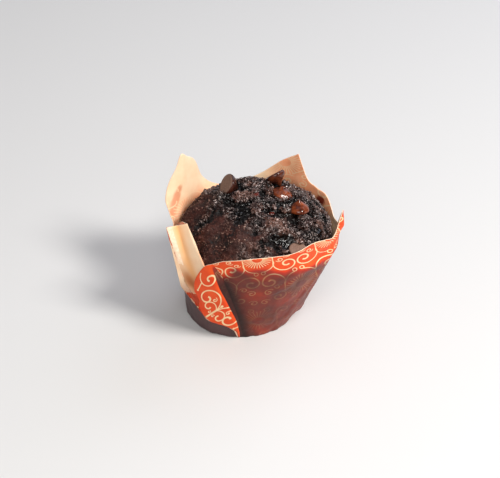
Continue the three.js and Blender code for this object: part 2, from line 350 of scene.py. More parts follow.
# %% Crumb relief
# the tear, in plan: a place on its line and the way to the torn side
TEAR_AT, TEAR_WAY = np.array([-10.3, -9.8]), np.array([0.59, 0.81])
TEAR_EDGE = (-2.0, 3.5)       # mm past that line, from smooth to torn
TEAR_FRAY = 2.2          # mm, how far the line wanders
RAN_SMOOTH = 0.15        # how rough it is where the batter ran smooth
SHOULDER_AT, SHOULDER_RADIUS = np.array([-21.0, 3.0]), 10.0    # smooth all the same
# tufts of torn crumb: middle, radius and how rough
TUFTS = [((-16.6, -11.3), 4.5, 0.9), ((3.5, -30.0), 5.5, 0.5), ((10.5, -28.0), 5.0, 0.6)]
COARSE, FINE = 1.9, 0.95      # mm across the two sizes of pebble
WARP = 0.8               # mm, how far pebbles are pulled out of shape
STRETCH = 3.4            # mm across a stretch of larger or smaller pebbles
CREVICE_APART, CREVICE_DEPTH = 7.0, 1.1    # mm


def pebbles(points, size, seed):
    """Rounded crumbs of that size in mm: up to 1 on top of each and 0 between them."""
    spots = points / size + seed * 31.7
    near = np.array([noise.voronoi(Vector(p))[0][0] for p in spots])
    return np.clip(1 - near, 0, 1)


def burst(points):
    """1 where the crust burst into rough crumb, and RAN_SMOOTH at the front left, where it didn't."""
    plan = points[:, :2] + TEAR_FRAY * np.stack([grain(points, 6, s, 2) for s in (3, 13)], -1)
    torn = blend_in((plan - TEAR_AT) @ TEAR_WAY, *TEAR_EDGE)
    torn *= blend_in(away(plan, SHOULDER_AT), SHOULDER_RADIUS - 2, SHOULDER_RADIUS + 2)
    for middle, radius, share in TUFTS:
        torn = np.maximum(torn, share * (1 - blend_in(away(plan, middle), radius - 2, radius + 1)))
    return RAN_SMOOTH + (1 - RAN_SMOOTH) * torn


def crumb(points, rough):
    """Height of the crumb over the dome, in mm, and how much of a peak each point is."""
    warped = points + WARP * np.stack([grain(points, COARSE, s, 2) for s in (5, 6, 7)], -1)
    coarse, fine = pebbles(warped, COARSE, 1), pebbles(warped * [1, 1, 0.7], FINE, 2)
    uneven = 0.5 + 0.5 * grain(points, STRETCH, 4)
    crevice = blend_in(-grain(warped, CREVICE_APART, 8, 3), 0.05, 0.3) * rough
    peak = 0.75 * coarse * uneven + 0.6 * fine - 0.5 - 0.9 * crevice
    proud = 0.5 + 0.5 * rough
    height = proud * (0.95 * peak + 0.25 * grain(points, 0.9, 10, 2)) - CREVICE_DEPTH * crevice
    return height, peak


# %% [markdown]
# Chips lie in the crumb and show through it, so the table of their places comes first:
# the crumb is a little lower round each of them, and no loose crumb lies on one.

# %% Places of the chips
CHIP_RADIUS = 4.3        # mm, of a chip of size 1
CHIP_BED = 0.7           # mm, how much lower the crumb lies round a chip
# middle in mm, way of the tip, size, slump and bloom
CHIPS = [
    ((-4.2, 8.2, 59.4), (0.8, 0.28, -0.53), 1.12, 0.05, 1.0),
    ((16.4, 15.2, 58.4), (0.47, -0.49, -0.73), 1.05, 0.2, 0.2),
    ((19.2, 4.6, 59.2), (0.3, 0.1, 0.95), 1.0, 0.85, 0.0),
    ((25.7, -5.5, 57.5), (0.03, 0.12, 0.99), 1.0, 0.35, 0.0),
    ((24.7, -24.6, 46), (-0.12, 0.3, -0.95), 0.95, 0.05, 1.0),
    ((12.9, 28.4, 46.8), (0.17, 0.8, 0.57), 0.85, 0.6, 0.0),
    ((-0.1, 27.6, 47.6), (-0.18, 0.72, 0.67), 0.85, 0.2, 0.0),
    ((-11.8, 23.4, 46), (-0.5, 0.64, 0.58), 0.85, 0.8, 0.0),
]
print(len(CHIPS), "chips")

# %% [markdown]
# The relief is worked out once, point by point. Chips that melted away left glossy hollows
# with a waved floor, and chocolate that ran thin left smears, under which the crumb lies
# half as high. Both are kept as numbers on the points, because the crumb's material needs
# them too.

# %% Relief of the dome
# hollows: middle, radius and depth in mm
HOLLOWS = [((20.4, -23.6, 51.4), 4.6, 2.2), ((35.2, -13.0, 49.5), 3.0, 0.9)]
HOLLOW_FLAT = 0.8        # share of the crumb's height that is gone in them
POOL_WAVES = 0.8         # mm, how lumpy the set chocolate in them is
# smears: middle and radius in mm
SMEARS = [((7.3, -1.3, 60.0), 2.0), ((13.8, -9.7, 58.6), 1.6)]
SMEAR_FRAY = 0.8         # mm, how ragged their edge is
SMEAR_FLAT = 0.5         # share of the crumb's height that is gone under them
RELIEF_FROM = (WIDEST_HEIGHT + 0.5, WIDEST_HEIGHT + 4)    # mm up; below, the paper presses it flat
INSET = 0.2              # mm that the cake lies inside the frame's solid

out, turn = disc_grid(DOME_GRID)
points, normals = dome(out, turn)
rough = burst(points)
height, peak = crumb(points, rough)
wet, smeared = np.zeros(len(points)), np.zeros(len(points))
for middle, radius, depth in HOLLOWS:
    here = np.exp(-(away(points, middle) / radius) ** 2)
    height = height * (1 - HOLLOW_FLAT * here) - depth * here
    wet = np.maximum(wet, here)
height += POOL_WAVES * wet * grain(points, 2.4, 15)
for middle, radius in SMEARS:
    from_smear = away(points, middle) + SMEAR_FRAY * grain(points, 1.8, 16)
    smeared = np.maximum(smeared, 1 - blend_in(from_smear, 0.5 * radius, radius))
height *= 1 - SMEAR_FLAT * smeared
from_chip = np.min([away(points, chip[0]) for chip in CHIPS], axis=0)
height -= CHIP_BED * (1 - blend_in(from_chip, CHIP_RADIUS - 1, CHIP_RADIUS + 2))
shown = blend_in(points[:, 2], *RELIEF_FROM)
points = points + normals * (height * shown - INSET)[:, None]
print("relief, mm:", height.min().round(2), "to", height.max().round(2))

# %% [markdown]
# The dome's grid has a square edge that lies on a circle. Rings of points carry that edge
# down the baked side, and one last face closes the bottom, so the cake is a closed mesh.

# %% Cake mesh
SIDE_RINGS = 5           # the baked side is hidden by paper, so few rings do

n = DOME_GRID
edge = [i * n for i in range(n)] + [(n - 1) * n + j for j in range(1, n)]
edge += [i * n + n - 1 for i in range(n - 2, -1, -1)] + list(range(n - 2, 0, -1))
edge_azimuth = np.degrees(turn[edge])
cake_points, cake_faces = points, grid_faces(n, n)
ring = edge
for k in range(1, SIDE_RINGS + 1):
    z = WIDEST_HEIGHT + (cake_low[2] - WIDEST_HEIGHT) * k / SIDE_RINGS
    below = list(range(len(cake_points), len(cake_points) + len(edge)))
    cake_points = np.concatenate([cake_points, place(edge_azimuth, np.full(len(edge), z), -INSET)])
    cake_faces += zip(below, below[1:] + below[:1], ring[1:] + ring[:1], ring)
    ring = below
cake_faces.append(tuple(reversed(ring)))
on_side = len(cake_points) - len(points)
cake_values = {name: np.pad(values, (0, on_side)) for name, values in
               (("peak", peak), ("rough", rough), ("wet", wet), ("smeared", smeared))}
print("cake:", len(points), "points on the dome and", on_side, "on the side")

# %% [markdown]
# ## Baked crumb
# Dark cocoa cake is nearly black where a gap shades it and warm brown where it is smooth.
# It is moist, so each pebble carries a small bright glint, and those glints, cold as the
# sky they mirror, make rough crumb look greyer than smooth crumb. So the colour follows
# the relief that is kept on the points: the gaps get painted shade, and the pebble tops get
# pale painted highlights, greyer on rough crumb and gathered in clusters. The cake and the
# loose crumbs share this material.

# %% Crumb colour
FLECK = 1.0              # mm between crumbs with more and with less painted highlight and gloss
HIGHLIGHT_CLUSTER = 3.6               # mm across a cluster of painted highlights
PATCH = 7.0              # mm across a patch of one tone

moist_crumb, tree = material("moist_cocoa_crumb")
spot = add(tree, "TexCoord").outputs["Object"]
peak_height, how_rough, how_wet, smear = (
    add(tree, "Attribute", attribute_name=name).outputs["Fac"]
    for name in ("peak", "rough", "wet", "smeared"))
fleck = add(tree, "TexNoise", {
    "Vector": spot, "Scale": 1 / (FLECK * MM), "Detail": 3.0, "Roughness": 0.6, "Distortion": 1.4})
patch = add(tree, "TexNoise", {"Vector": spot, "Scale": 1 / (PATCH * MM), "Detail": 2.0})
smooth_tone = add(tree, "ValToRGB", [patch], stops=[(0.3, "#280902"), (0.7, "#461406")])
torn_tone = add(tree, "ValToRGB", [patch], stops=[(0.35, "#0F0605"), (0.5, "#2D1814"), (0.66, "#6C4A3F")])
colour = add(tree, "Mix", [how_rough, smooth_tone, torn_tone], data_type="RGBA")
# painted highlights: the pebble tops are painted paler, in specks and clusters, greyer on rough crumb
tops = add(tree, "MapRange", [peak_height, 0.02, 0.42, 0.0, 1.0])
speck = add(tree, "MapRange", [fleck, 0.44, 0.6, 0.0, 0.85])
painted_highlight = add(tree, "Math", [tops, speck], operation="MULTIPLY")
highlight_clusters = add(tree, "TexNoise", {"Vector": spot, "Scale": 1 / (HIGHLIGHT_CLUSTER * MM), "Detail": 2.0})
in_highlight_cluster = add(tree, "MapRange", [highlight_clusters, 0.42, 0.58, 0.2, 1.0])
painted_highlight = add(tree, "Math", [painted_highlight, in_highlight_cluster], operation="MULTIPLY")
highlight_tone = add(tree, "Mix", [how_rough, srgb("#A0745E"), srgb("#DDC8C3")], data_type="RGBA")
colour = add(tree, "Mix", [painted_highlight, colour, highlight_tone], data_type="RGBA")
# painted shade: the low places between the pebbles are painted nearly black
painted_gap_shade = add(tree, "MapRange", [peak_height, -0.05, -0.42, 0.0, 0.95])
colour = add(tree, "Mix", [painted_gap_shade, colour, srgb("#040202")], data_type="RGBA")
pool = add(tree, "MapRange", [how_wet, 0.25, 0.6, 0.0, 1.0])
colour = add(tree, "Mix", [pool, colour, srgb("#060303")], data_type="RGBA")
colour = add(tree, "Mix", [smear, colour, srgb("#5E2014")], data_type="RGBA")

# %% [markdown]
# The roughness changes from crumb to crumb too. A bump alone blurs the glints of moist
# crumb into one grey, so cells of a Voronoi texture each lean the normal their own way,
# like tiny facets, and only those that face a light flash. Set chocolate is even and
# glossy, so where it lies the facets hardly lean.

# %% Crumb gloss
GRIT = 0.55              # mm, coarser than sugar and flour, so that it shows
FACET = 0.8              # mm across one wet facet of the crumb
GRIT_DEPTH = 0.25        # mm
# how far a facet may lean: on smooth crumb, on torn crumb and on set chocolate
SOFT_TILT, SHARP_TILT, GLAZED_TILT = 0.4, 1.7, 0.1
SMOOTH_CRUMB, SET_CHOCOLATE = 0.8, 0.1    # their roughness

moist = add(tree, "MapRange", [fleck, 0.42, 0.58, 0.42, 0.14])
crumb_roughness = add(tree, "Mix", [how_rough, SMOOTH_CRUMB, moist])
polish = add(tree, "Math", [pool, smear], operation="MAXIMUM")
roughness = add(tree, "Mix", [polish, crumb_roughness, SET_CHOCOLATE])
facets = add(tree, "TexVoronoi", {"Vector": spot, "Scale": 1 / (FACET * MM)})
tilt = add(tree, "VectorMath", [facets.outputs["Color"], (0.5, 0.5, 0.5)], operation="SUBTRACT")
lean = add(tree, "Mix", [how_rough, SOFT_TILT, SHARP_TILT])
lean = add(tree, "Mix", [polish, lean, GLAZED_TILT])
tilt = add(tree, "VectorMath", {"Vector": tilt, "Scale": lean}, operation="SCALE")
grit = add(tree, "TexNoise", {"Vector": spot, "Scale": 1 / (GRIT * MM), "Detail": 1.0, "Roughness": 0.6})
relief = add(tree, "Bump", {"Height": grit, "Strength": 0.5, "Distance": GRIT_DEPTH * MM})
normal = add(tree, "VectorMath", [relief, tilt], operation="ADD")
normal = add(tree, "VectorMath", [normal], operation="NORMALIZE")
crumb_shader = add(tree, "BsdfPrincipled", {
    "Base Color": colour, "Roughness": roughness, "IOR": 1.45, "Specular IOR Level": 0.46,
    "Normal": normal})
add(tree, "OutputMaterial", [crumb_shader])
print(moist_crumb.name, len(tree.nodes), "nodes")

# %% Cake
cake = piece("muffin_crumb", cake_points, cake_faces, [moist_crumb])
for name, values in cake_values.items():
    paint_points(cake, name, values)
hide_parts("muffin_cake")

# %% [markdown]
# ## Chocolate chips
# A chip is a drop of chocolate on a cold belt: a flat round face, a bulging foot and a
# drawn-up tip. In the oven some stay crisp, and some melt, slump and set again. Each is
# the same turned outline, run through a smooth curve, and a slump number says how far it
# has melted: it lowers the tip, spreads the foot and lets soft waves run over the surface.

# %% Chip shape
CHIP_HEIGHT = 6.4        # mm, of a chip of size 1
CHIP_MIDDLE = 0.4        # of the height, where the frame holds each chip
# half outline from the flat face to the tip, in shares of radius and height
CHIP_OUTLINE = np.array([
    [0, 0], [0.86, 0], [1, 0.1], [0.97, 0.24], [0.78, 0.45], [0.47, 0.66], [0.2, 0.85], [0, 1]])
AROUND_CHIP = 56         # points round a chip
UP_CHIP = 44             # steps up its outline
SLUMP_LOWERS, SLUMP_SPREADS = 0.3, 0.12    # shares of the height and radius, fully melted
FLAT_WITHIN = (0.06, 0.01)    # of the height above the flat face, where its bloom fades


def chip_outline(slump):
    """Half outline from the middle of the flat face to the tip, in shares of radius and height."""
    run = run_along(CHIP_OUTLINE)
    shares = hermite(run, CHIP_OUTLINE, np.linspace(0, run[-1], UP_CHIP + 1))
    shares[:, 1] *= 1 - SLUMP_LOWERS * slump
    shares[:, 0] *= 1 + SLUMP_SPREADS * slump * (1 - shares[:, 1])
    return np.maximum(shares, 0)


def chip_points(size, slump, seed):
    """Points about the chip's middle with the tip up, and how flat-faced each point is."""
    shares = chip_outline(slump)[1:-1]
    turns = np.arange(AROUND_CHIP) * math.tau / AROUND_CHIP
    circle = np.stack([np.cos(turns), np.sin(turns)], -1)
    radii = CHIP_RADIUS * size * shares[:, 0]
    heights = CHIP_HEIGHT * size * (shares[:, 1] - CHIP_MIDDLE)
    sides = np.concatenate([
        np.column_stack([circle * r, np.full(AROUND_CHIP, z)]) for r, z in zip(radii, heights)])
    tip = 1 - SLUMP_LOWERS * slump - CHIP_MIDDLE
    ends = np.array([[0, 0, -CHIP_MIDDLE], [0, 0, tip]]) * CHIP_HEIGHT * size
    spots = np.concatenate([sides, ends])
    flat = blend_in(-spots[:, 2], *((CHIP_MIDDLE - share) * CHIP_HEIGHT * size for share in FLAT_WITHIN))
    waves = grain(spots, 3.2 - 1.2 * slump, seed) * (0.12 + 0.75 * slump) * size
    outwards = spots / np.maximum(np.linalg.norm(spots, axis=1), 0.5)[:, None]
    return spots + outwards * (waves * (1 - 0.85 * flat))[:, None], flat


def chip_faces():
    """Quads round the chip, with a fan at the flat face and one at the tip."""
    around = [(j, (j + 1) % AROUND_CHIP) for j in range(AROUND_CHIP)]
    rings = [i * AROUND_CHIP for i in range(UP_CHIP - 1)]
    face_middle, tip = len(rings) * AROUND_CHIP, len(rings) * AROUND_CHIP + 1
    sides = [(low + j, low + k, high + k, high + j) for low, high in zip(rings, rings[1:]) for j, k in around]
    face = [(face_middle, k, j) for j, k in around]
    return sides + face + [(tip, rings[-1] + j, rings[-1] + k) for j, k in around]


# %% [markdown]
# ## Chocolate
# Set dark chocolate is smooth and glossy, and deep brown. A chip that kept its shape wears
# bloom on its flat face, a dull pale skin of fat crystals, and one that melted has taken
# up fat and looks redder and wetter. Two numbers kept on the points, bloom and melted, mix
# the three, so all the chips share one material.

# %% Chocolate
BLOOM_GRAIN = 0.5        # mm between the pale crystals of bloom
CLOUD = 2.5              # mm across a cloud of one tone
BLOOM_ROUGHNESS = 0.6

chocolate, tree = material("set_dark_chocolate")
spot = add(tree, "TexCoord").outputs["Object"]
bloom = add(tree, "Attribute", attribute_name="bloom").outputs["Fac"]
cloud = add(tree, "TexNoise", {"Vector": spot, "Scale": 1 / (CLOUD * MM), "Detail": 2.0})
crystals = add(tree, "TexNoise", {"Vector": spot, "Scale": 1 / (BLOOM_GRAIN * MM), "Detail": 3.0})
melted = add(tree, "Attribute", attribute_name="melted").outputs["Fac"]
firm = add(tree, "ValToRGB", [cloud], stops=[(0.35, "#2C1410"), (0.7, "#4A2419")])
runny = add(tree, "ValToRGB", [cloud], stops=[(0.35, "#451A0D"), (0.7, "#8C421E")])
shiny = add(tree, "Mix", [melted, firm, runny], data_type="RGBA")
chalky = add(tree, "ValToRGB", [crystals], stops=[(0.3, "#6F5144"), (0.7, "#8A6C5D")])
colour = add(tree, "Mix", [bloom, shiny, chalky], data_type="RGBA")
gloss = add(tree, "MapRange", [cloud, 0.3, 0.7, 0.1, 0.24])
roughness = add(tree, "Mix", [bloom, gloss, BLOOM_ROUGHNESS])
dimples = add(tree, "Bump", {"Height": crystals, "Strength": 0.15, "Distance": 0.1 * MM})
chocolate_shader = add(tree, "BsdfPrincipled", {
    "Base Color": colour, "Roughness": roughness, "IOR": 1.46, "Normal": dimples})
add(tree, "OutputMaterial", [chocolate_shader])
print(chocolate.name, len(tree.nodes), "nodes")

# %% Chips
FULLY_RUNNY = 0.34       # slump at which a chip has its melted colour all over

for number, (at, tip, size, slump, bloomed) in enumerate(CHIPS, 1):
    spots, flat = chip_points(size, slump, number)
    turned = np.array(Vector((0, 0, 1)).rotation_difference(Vector(tip)).to_matrix())
    standing = spots @ turned.T + np.array(at)
    chip = piece(f"chocolate_chip_{number}", standing, chip_faces(), [chocolate])
    paint_points(chip, "bloom", flat * bloomed)
    paint_points(chip, "melted", np.full(len(flat), min(1, (slump / FULLY_RUNNY) ** 2)))
    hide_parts(f"chip_{number}")

# %% [markdown]
# ## Loose crumbs
# Where the top burst, crumbs stand proud of it and hang over the gaps, which a surface
# that only moves along its normal can't do. So small lumps are strewn over the dome, each
# an icosphere knocked out of round, sunk by half, and all joined into one mesh. There are
# more and larger ones on the rough side than on the smooth one.

# %% Loose crumbs
CRUMBS = 7500
CRUMB_SIZE = 0.3         # mm, half the width of a middling crumb
SIZE_SPREAD = 0.45       # of its logarithm
LOOSE_FROM = 43.0        # mm up, so that none pokes through the paper
ON_SMOOTH = 0.3          # share of the crumbs that stay where nothing is torn
GAP_BELOW = -0.35        # peaks lower than this are gaps, and stay empty
KNOCKED = 0.35           # how far out of round a crumb is
LONG_AND_FLAT = (0.65, 1.25)  # least and most that it is stretched each way
TONES = (-0.15, 0.45)    # darkest and palest crumb, as heights of a peak, which set its painted shade and highlight
rng = np.random.default_rng(7)


def round_stone(detail):
    """Points and faces of an icosphere of radius 1."""
    ball = bmesh.new()
    bmesh.ops.create_icosphere(ball, subdivisions=detail, radius=1)
    spots = np.array([v.co[:] for v in ball.verts])
    sides = np.array([[v.index for v in f.verts] for f in ball.faces])
    ball.free()
    return spots, sides


def turned_at_random():
    """A random rotation as a 3 by 3 matrix."""
    axes, _ = np.linalg.qr(rng.normal(size=(3, 3)))
    return axes * np.sign(np.linalg.det(axes))


stone, stone_faces = round_stone(1)
bare = [(np.array(middle), 0.9 * radius) for middle, radius, *_ in [*HOLLOWS, *SMEARS]]
crumb_points, crumb_faces, crumb_peak, crumb_rough = [], [], [], []
while len(crumb_points) < CRUMBS:
    out_at, turn_at = np.array([math.sqrt(rng.random())]), np.array([rng.random() * math.tau])
    at, up = dome(out_at, turn_at)
    torn = float(burst(at)[0])
    near_chip = min(np.linalg.norm(at[0] - chip[0]) for chip in CHIPS) < CHIP_RADIUS
    over_bare = min(np.linalg.norm(at[0] - middle) - radius for middle, radius in bare) < 0
    kept = ON_SMOOTH + (1 - ON_SMOOTH) * torn
    if at[0, 2] < LOOSE_FROM or rng.random() > kept or over_bare or near_chip:
        continue
    height_at, peak_at = (float(value[0]) for value in crumb(at, np.array([torn])))
    if peak_at < GAP_BELOW:
        continue
    size = CRUMB_SIZE * rng.lognormal(0, SIZE_SPREAD) * (0.6 + 0.4 * torn)
    knocked = 1 + KNOCKED * grain(stone + rng.random(3) * 50, 0.9, 4)
    shape = (stone * knocked[:, None] * rng.uniform(*LONG_AND_FLAT, 3)) @ turned_at_random() * size
    base = at[0] + up[0] * (height_at - 0.05 * size)
    crumb_faces.append(stone_faces + len(stone) * len(crumb_points))
    crumb_points.append(shape + base)
    # the side of a crumb that faces up counts as higher, so it gets more painted highlight, and its underside
    # more painted shade
    crumb_peak.append(rng.uniform(*TONES) + 0.25 * (shape @ up[0]) / size)
    crumb_rough.append(np.full(len(stone), torn))
crumbs = piece("loose_crumbs", np.concatenate(crumb_points), np.concatenate(crumb_faces).tolist(),
               [moist_crumb])
paint_points(crumbs, "peak", np.concatenate(crumb_peak))
paint_points(crumbs, "rough", np.concatenate(crumb_rough))
crumbs.data.polygons.foreach_set("use_smooth", [False] * len(crumbs.data.polygons))

# %% [markdown]
# ## The shape of the wrap
# A tulip wrap is one square of greaseproof paper, pressed round the cup before the batter
# goes in. Its four corners stand up as petals, and the paper that is too much between
# them lies in folds. So it is made as it is: one sheet, as a grid of columns that run up
# from the base to the cut edge. Round the muffin the columns follow a short table of the
# cut edge. At the front left the sheet leaves the muffin at a root fold, runs out to an
# outer fold and comes back over itself to a ridge and a valley, where the front begins.
# Each of those lines is a smooth curve through a few places.

# %% Lines of the wrap
ROWS = 78                # points up each column, under a millimetre apart
EDGE_STEP = 1.25         # degrees between wall columns
PLEAT_STEP = 0.8         # mm between the pleat's columns
PAPER_FOOT = 0.3         # mm up, lowest place of the paper's middle
# mm up where the paper starts to flare out, or mm below a low rim, and how the flare curves
FREE_FROM, FREE_BELOW_RIM, FLARE = 42.0, 6.0, 1.3
# cut edge: azimuth, azimuth at the base below it, height, stand-off
RIM = np.array([
    [-119.5, -87, 45.8, 3.4], [-110, -82, 49.4, 4.2], [-97, -74, 52, 5], [-85, -68, 53.2, 5],
    [-65, -56, 53.2, 5], [-51, -46, 55.4, 5.4], [-42, -39, 54, 5.4], [-34, -32, 53.4, 5.3],
    [-24.5, -24.5, 63, 5.2], [-18, -18, 52.3, 4.1], [-11, -11, 48, 1.3], [0, 0, 44, 0.9],
    [9, 9, 41.8, 0.9], [18, 18, 41, 0.9], [30, 30, 47.8, 1.3], [40, 40, 49, 1.3],
    [50, 50, 52.6, 1.3], [54, 54, 58, 1.3], [57, 57, 62.7, 1.2], [70, 70, 57.3, 1.2],
    [85, 85, 49.8, 1], [100, 100, 45.5, 1.2], [116, 116, 44.5, 2.8], [127, 127, 49.2, 4],
    [131, 131, 53.2, 4], [135, 135, 60.3, 4], [143, 143, 65.6, 4.5], [149, 149, 67.8, 4.8],
    [152.5, 152, 63, 5.4], [158, 157, 57.8, 6.9], [162, 161, 53.5, 7.6], [165, 163, 50, 7.4],
    [168.5, 165, 47, 5.4], [174, 172, 43.4, 2.8], [182, 184, 42.4, 2.1], [196, 212, 50, 1.6],
    [206, 238, 56, 1.4], [215.5, 266.5, 58.4, 1.6]])
FLANK_OFF = 1.8          # mm more that the right flank stands off, about this azimuth
FLANK_AT = 2
FLANK_ENDS = (15, 50)    # degrees from there to where this starts to fade, and where it ends
FLANK_FROM = 9           # mm up, where it is full
SHARP_TIPS = [8, 18]     # rows of the table where the sheet's cut corners stand up
# lines of the pleat, each from the foot to the cut edge: azimuth, height, stand-off
CORNER_CREASE = [[-91.6, 0, 0.6], [-97, 6, 1.2], [-108, 12, 1.5], [-122, 20, 1.7], [-137, 33, 2.4],
                 [-150.2, 56.5, 4.8]]
CORNER_TIP = [[-91.8, 0, 0.6], [-97, 5.6, 1.2], [-108, 9.5, 1.6], [-124, 14.5, 2], [-141, 26, 4.4],
              [-149.6, 57.5, 10]]
CORNER_SIDE = [[-92, 0, 0.7], [-97, 5.2, 1.3], [-108, 8.5, 1.7], [-125, 11.5, 2.2], [-137, 17.5, 3.4],
               [-145, 26.3, 6.4]]
OUTER_FOLD = [[-92, 0, 0.8], [-95.7, 5.3, 1.2], [-103.4, 7.7, 1.8], [-113.6, 8.9, 2.2], [-123.6, 9.4, 2.6],
              [-131, 14.2, 2.7], [-139.7, 16.3, 2.8]]
BAND_LOW = [[-91.3, 0, 0.8], [-95.8, 6.5, 1.6], [-104, 11, 2.2], [-115, 14.5, 2.6], [-126, 18.5, 2.8],
            [-136.5, 23.2, 3]]
BAND_MIDDLE = [[-91, 0, 0.8], [-96, 8, 1.8], [-104, 14.5, 2.5], [-115, 21.5, 3], [-125, 27.5, 3.4],
               [-133.6, 33, 3.8]]
BAND_CORNER = [[-90.7, 0, 0.8], [-96.5, 10, 1.8], [-104, 18, 2.5], [-112, 27, 3.2], [-119, 35, 3.6],
               [-125.6, 43, 4]]
RIDGE = [[-90.4, 0, 0.8], [-98.2, 13, 1.8], [-103.8, 19.7, 2.2], [-109.5, 27.2, 2.6], [-114, 33.2, 3],
         [-119.6, 45.7, 3.5]]


def wall_column(row):
    """One column of the wall, from the base to its place on the cut edge."""
    azimuth, base_azimuth, rim_height, rim_off = row
    free = min(FREE_FROM, rim_height - FREE_BELOW_RIM)
    z = np.linspace(PAPER_FOOT, rim_height, ROWS)
    flare = np.clip((z - free) / (rim_height - free), 0, 1) ** FLARE
    turn = base_azimuth + (azimuth - base_azimuth) * z / rim_height
    from_flank = np.abs(turn - FLANK_AT)
    flank = FLANK_OFF * (1 - blend_in(from_flank, *FLANK_ENDS)) * blend_in(z, 0, FLANK_FROM)
    return place(turn, z, PAPER_OFF + (rim_off - PAPER_OFF) * flare + flank)


def pleat_line(stations):
    """A smooth line through a few places on the pleat, with its points evenly spaced."""
    spots = place(*np.array(stations, float).T)
    spots[:, 2] = np.maximum(spots[:, 2], PAPER_FOOT)
    steps = np.linalg.norm(np.diff(spots, axis=0), axis=1)
    knots = np.concatenate([[0], np.cumsum(np.sqrt(steps))])    # by root, so that it can't loop
    dense = hermite(knots, spots, np.linspace(0, knots[-1], 400))
    run = run_along(dense)
    even = np.linspace(0, run[-1], ROWS)
    return np.stack([np.interp(even, run, dense[:, k]) for k in range(3)], -1)


def across(lines, smooth):
    """Columns from each line to the next, without the last one, straight or on a smooth curve."""
    lines = np.array(lines)
    widest = np.linalg.norm(np.diff(lines, axis=0), axis=2).max(axis=1)
    counts = np.maximum(2, np.ceil(widest / PLEAT_STEP)).astype(int)
    at = np.concatenate([i + np.arange(n) / n for i, n in enumerate(counts)])
    if smooth:
        flat = hermite(np.arange(len(lines)), lines.reshape(len(lines), -1), at)
        return flat.reshape(len(at), ROWS, 3)
    i = np.minimum(at.astype(int), len(lines) - 2)
    t = (at - i)[:, None, None]
    return lines[i] * (1 - t) + lines[i + 1] * t


# %% [markdown]
# The sheet is four parts side by side: the wall round the muffin, the pleat's back, the
# band that is folded over it, and the short fall from the band's ridge into the valley.
# The cut edge is a smooth curve between its sharp tips, so it is read off tip by tip.

# %% The sheet as a grid
stops = [0, *SHARP_TIPS, len(RIM) - 1]
edge_rows = []
for first, last in zip(stops, stops[1:]):
    rows = RIM[first:last + 1]
    steps = round((rows[-1, 0] - rows[0, 0]) / EDGE_STEP)
    at = np.linspace(rows[0, 0], rows[-1, 0], 1 + steps)[:-1]
    edge_rows.append(hermite(rows[:, 0], rows, at))
edge_rows = np.concatenate(edge_rows)
wall = np.array([wall_column(row) for row in edge_rows])
root_fold, valley = wall_column(RIM[-1]), wall_column(RIM[0])
back_lines = [root_fold, *map(pleat_line, (CORNER_CREASE, CORNER_TIP, CORNER_SIDE, OUTER_FOLD))]
band_lines = [*map(pleat_line, (OUTER_FOLD, BAND_LOW, BAND_MIDDLE, BAND_CORNER, RIDGE))]
back = across(back_lines, smooth=False)
band = across(band_lines, smooth=True)
fall = across([band_lines[-1], valley], smooth=False)
sheet = np.concatenate([wall, back, band, fall])
flat_sheet = sheet.reshape(-1, 3)
sheet_height = sheet[..., 2]
# columns where the wall, the back and the band end
WALL, BACK, BAND = np.cumsum([len(wall), len(back), len(band)]).tolist()
print("wrap grid:", sheet.shape[0], "columns of", sheet.shape[1])

# %% [markdown]
# ## The print
# The paper carries a common scrollwork: curls on thin stems, little loops and half suns,
# printed pale on orange. A curl is a spiral that tightens by the same share each turn, so
# a shader can say how far inside the stroke any place is: from its angle and distance it
# finds the nearest turn of the spiral. Strokes are then joined by taking the largest
# value. Everything is in millimetres of the flat sheet, so the print follows the folds.

# %% Strokes
INK_EDGE = 0.16          # mm over which the ink fades out at the edge of a stroke
PEN = (0.23, 0.48)       # mm, half width of a curl's stroke, outer end and inner end


def curl(tree, spot, centre, reach, start, turns, way=1, tighten=1.5, pen=PEN):
    """How far inside a curl's stroke a place is, in mm. It starts at reach and winds inwards."""
    grow = (1 / reach, 1 / reach, 0)
    moved = (-centre[0] / reach, -centre[1] / reach, 0)
    near = add(tree, "VectorMath", [spot, grow, moved], operation="MULTIPLY_ADD")
    xy = add(tree, "SeparateXYZ", [near])
    far = add(tree, "VectorMath", [near], operation="LENGTH")
    angle = add(tree, "Math", [xy.outputs["Y"], xy.outputs["X"]], operation="ARCTAN2")
    begin = -way * math.radians(start) / math.tau
    wound = add(tree, "Math", [angle, way / math.tau, begin], operation="MULTIPLY_ADD")
    part = add(tree, "Math", [wound], operation="FRACT")
    depth = add(tree, "Math", [far, math.exp(-tighten)], operation="LOGARITHM")
    lap = add(tree, "Math", [depth, part], operation="SUBTRACT")
    lap = add(tree, "Math", [lap], operation="ROUND")
    lap = add(tree, "Math", [lap, 0.0], operation="MAXIMUM")
    last = add(tree, "Math", [turns, part], operation="SUBTRACT")
    last = add(tree, "Math", [last], operation="FLOOR")
    lap = add(tree, "Math", [lap, last], operation="MINIMUM")
    progress = add(tree, "Math", [part, lap], operation="ADD")
    arm = add(tree, "Math", [math.exp(-tighten), progress], operation="POWER")
    aside = add(tree, "Math", [far, arm], operation="SUBTRACT")
    aside = add(tree, "Math", [aside], operation="ABSOLUTE")
    half = add(tree, "Math", [progress, (pen[1] - pen[0]) / turns, pen[0]], operation="MULTIPLY_ADD")
    inside = add(tree, "Math", [aside, -reach, half], operation="MULTIPLY_ADD")
    if turns >= 1:
        return inside
    begun = add(tree, "Math", [progress, math.tau * reach], operation="MULTIPLY")
    return add(tree, "Math", [inside, begun], operation="MINIMUM")


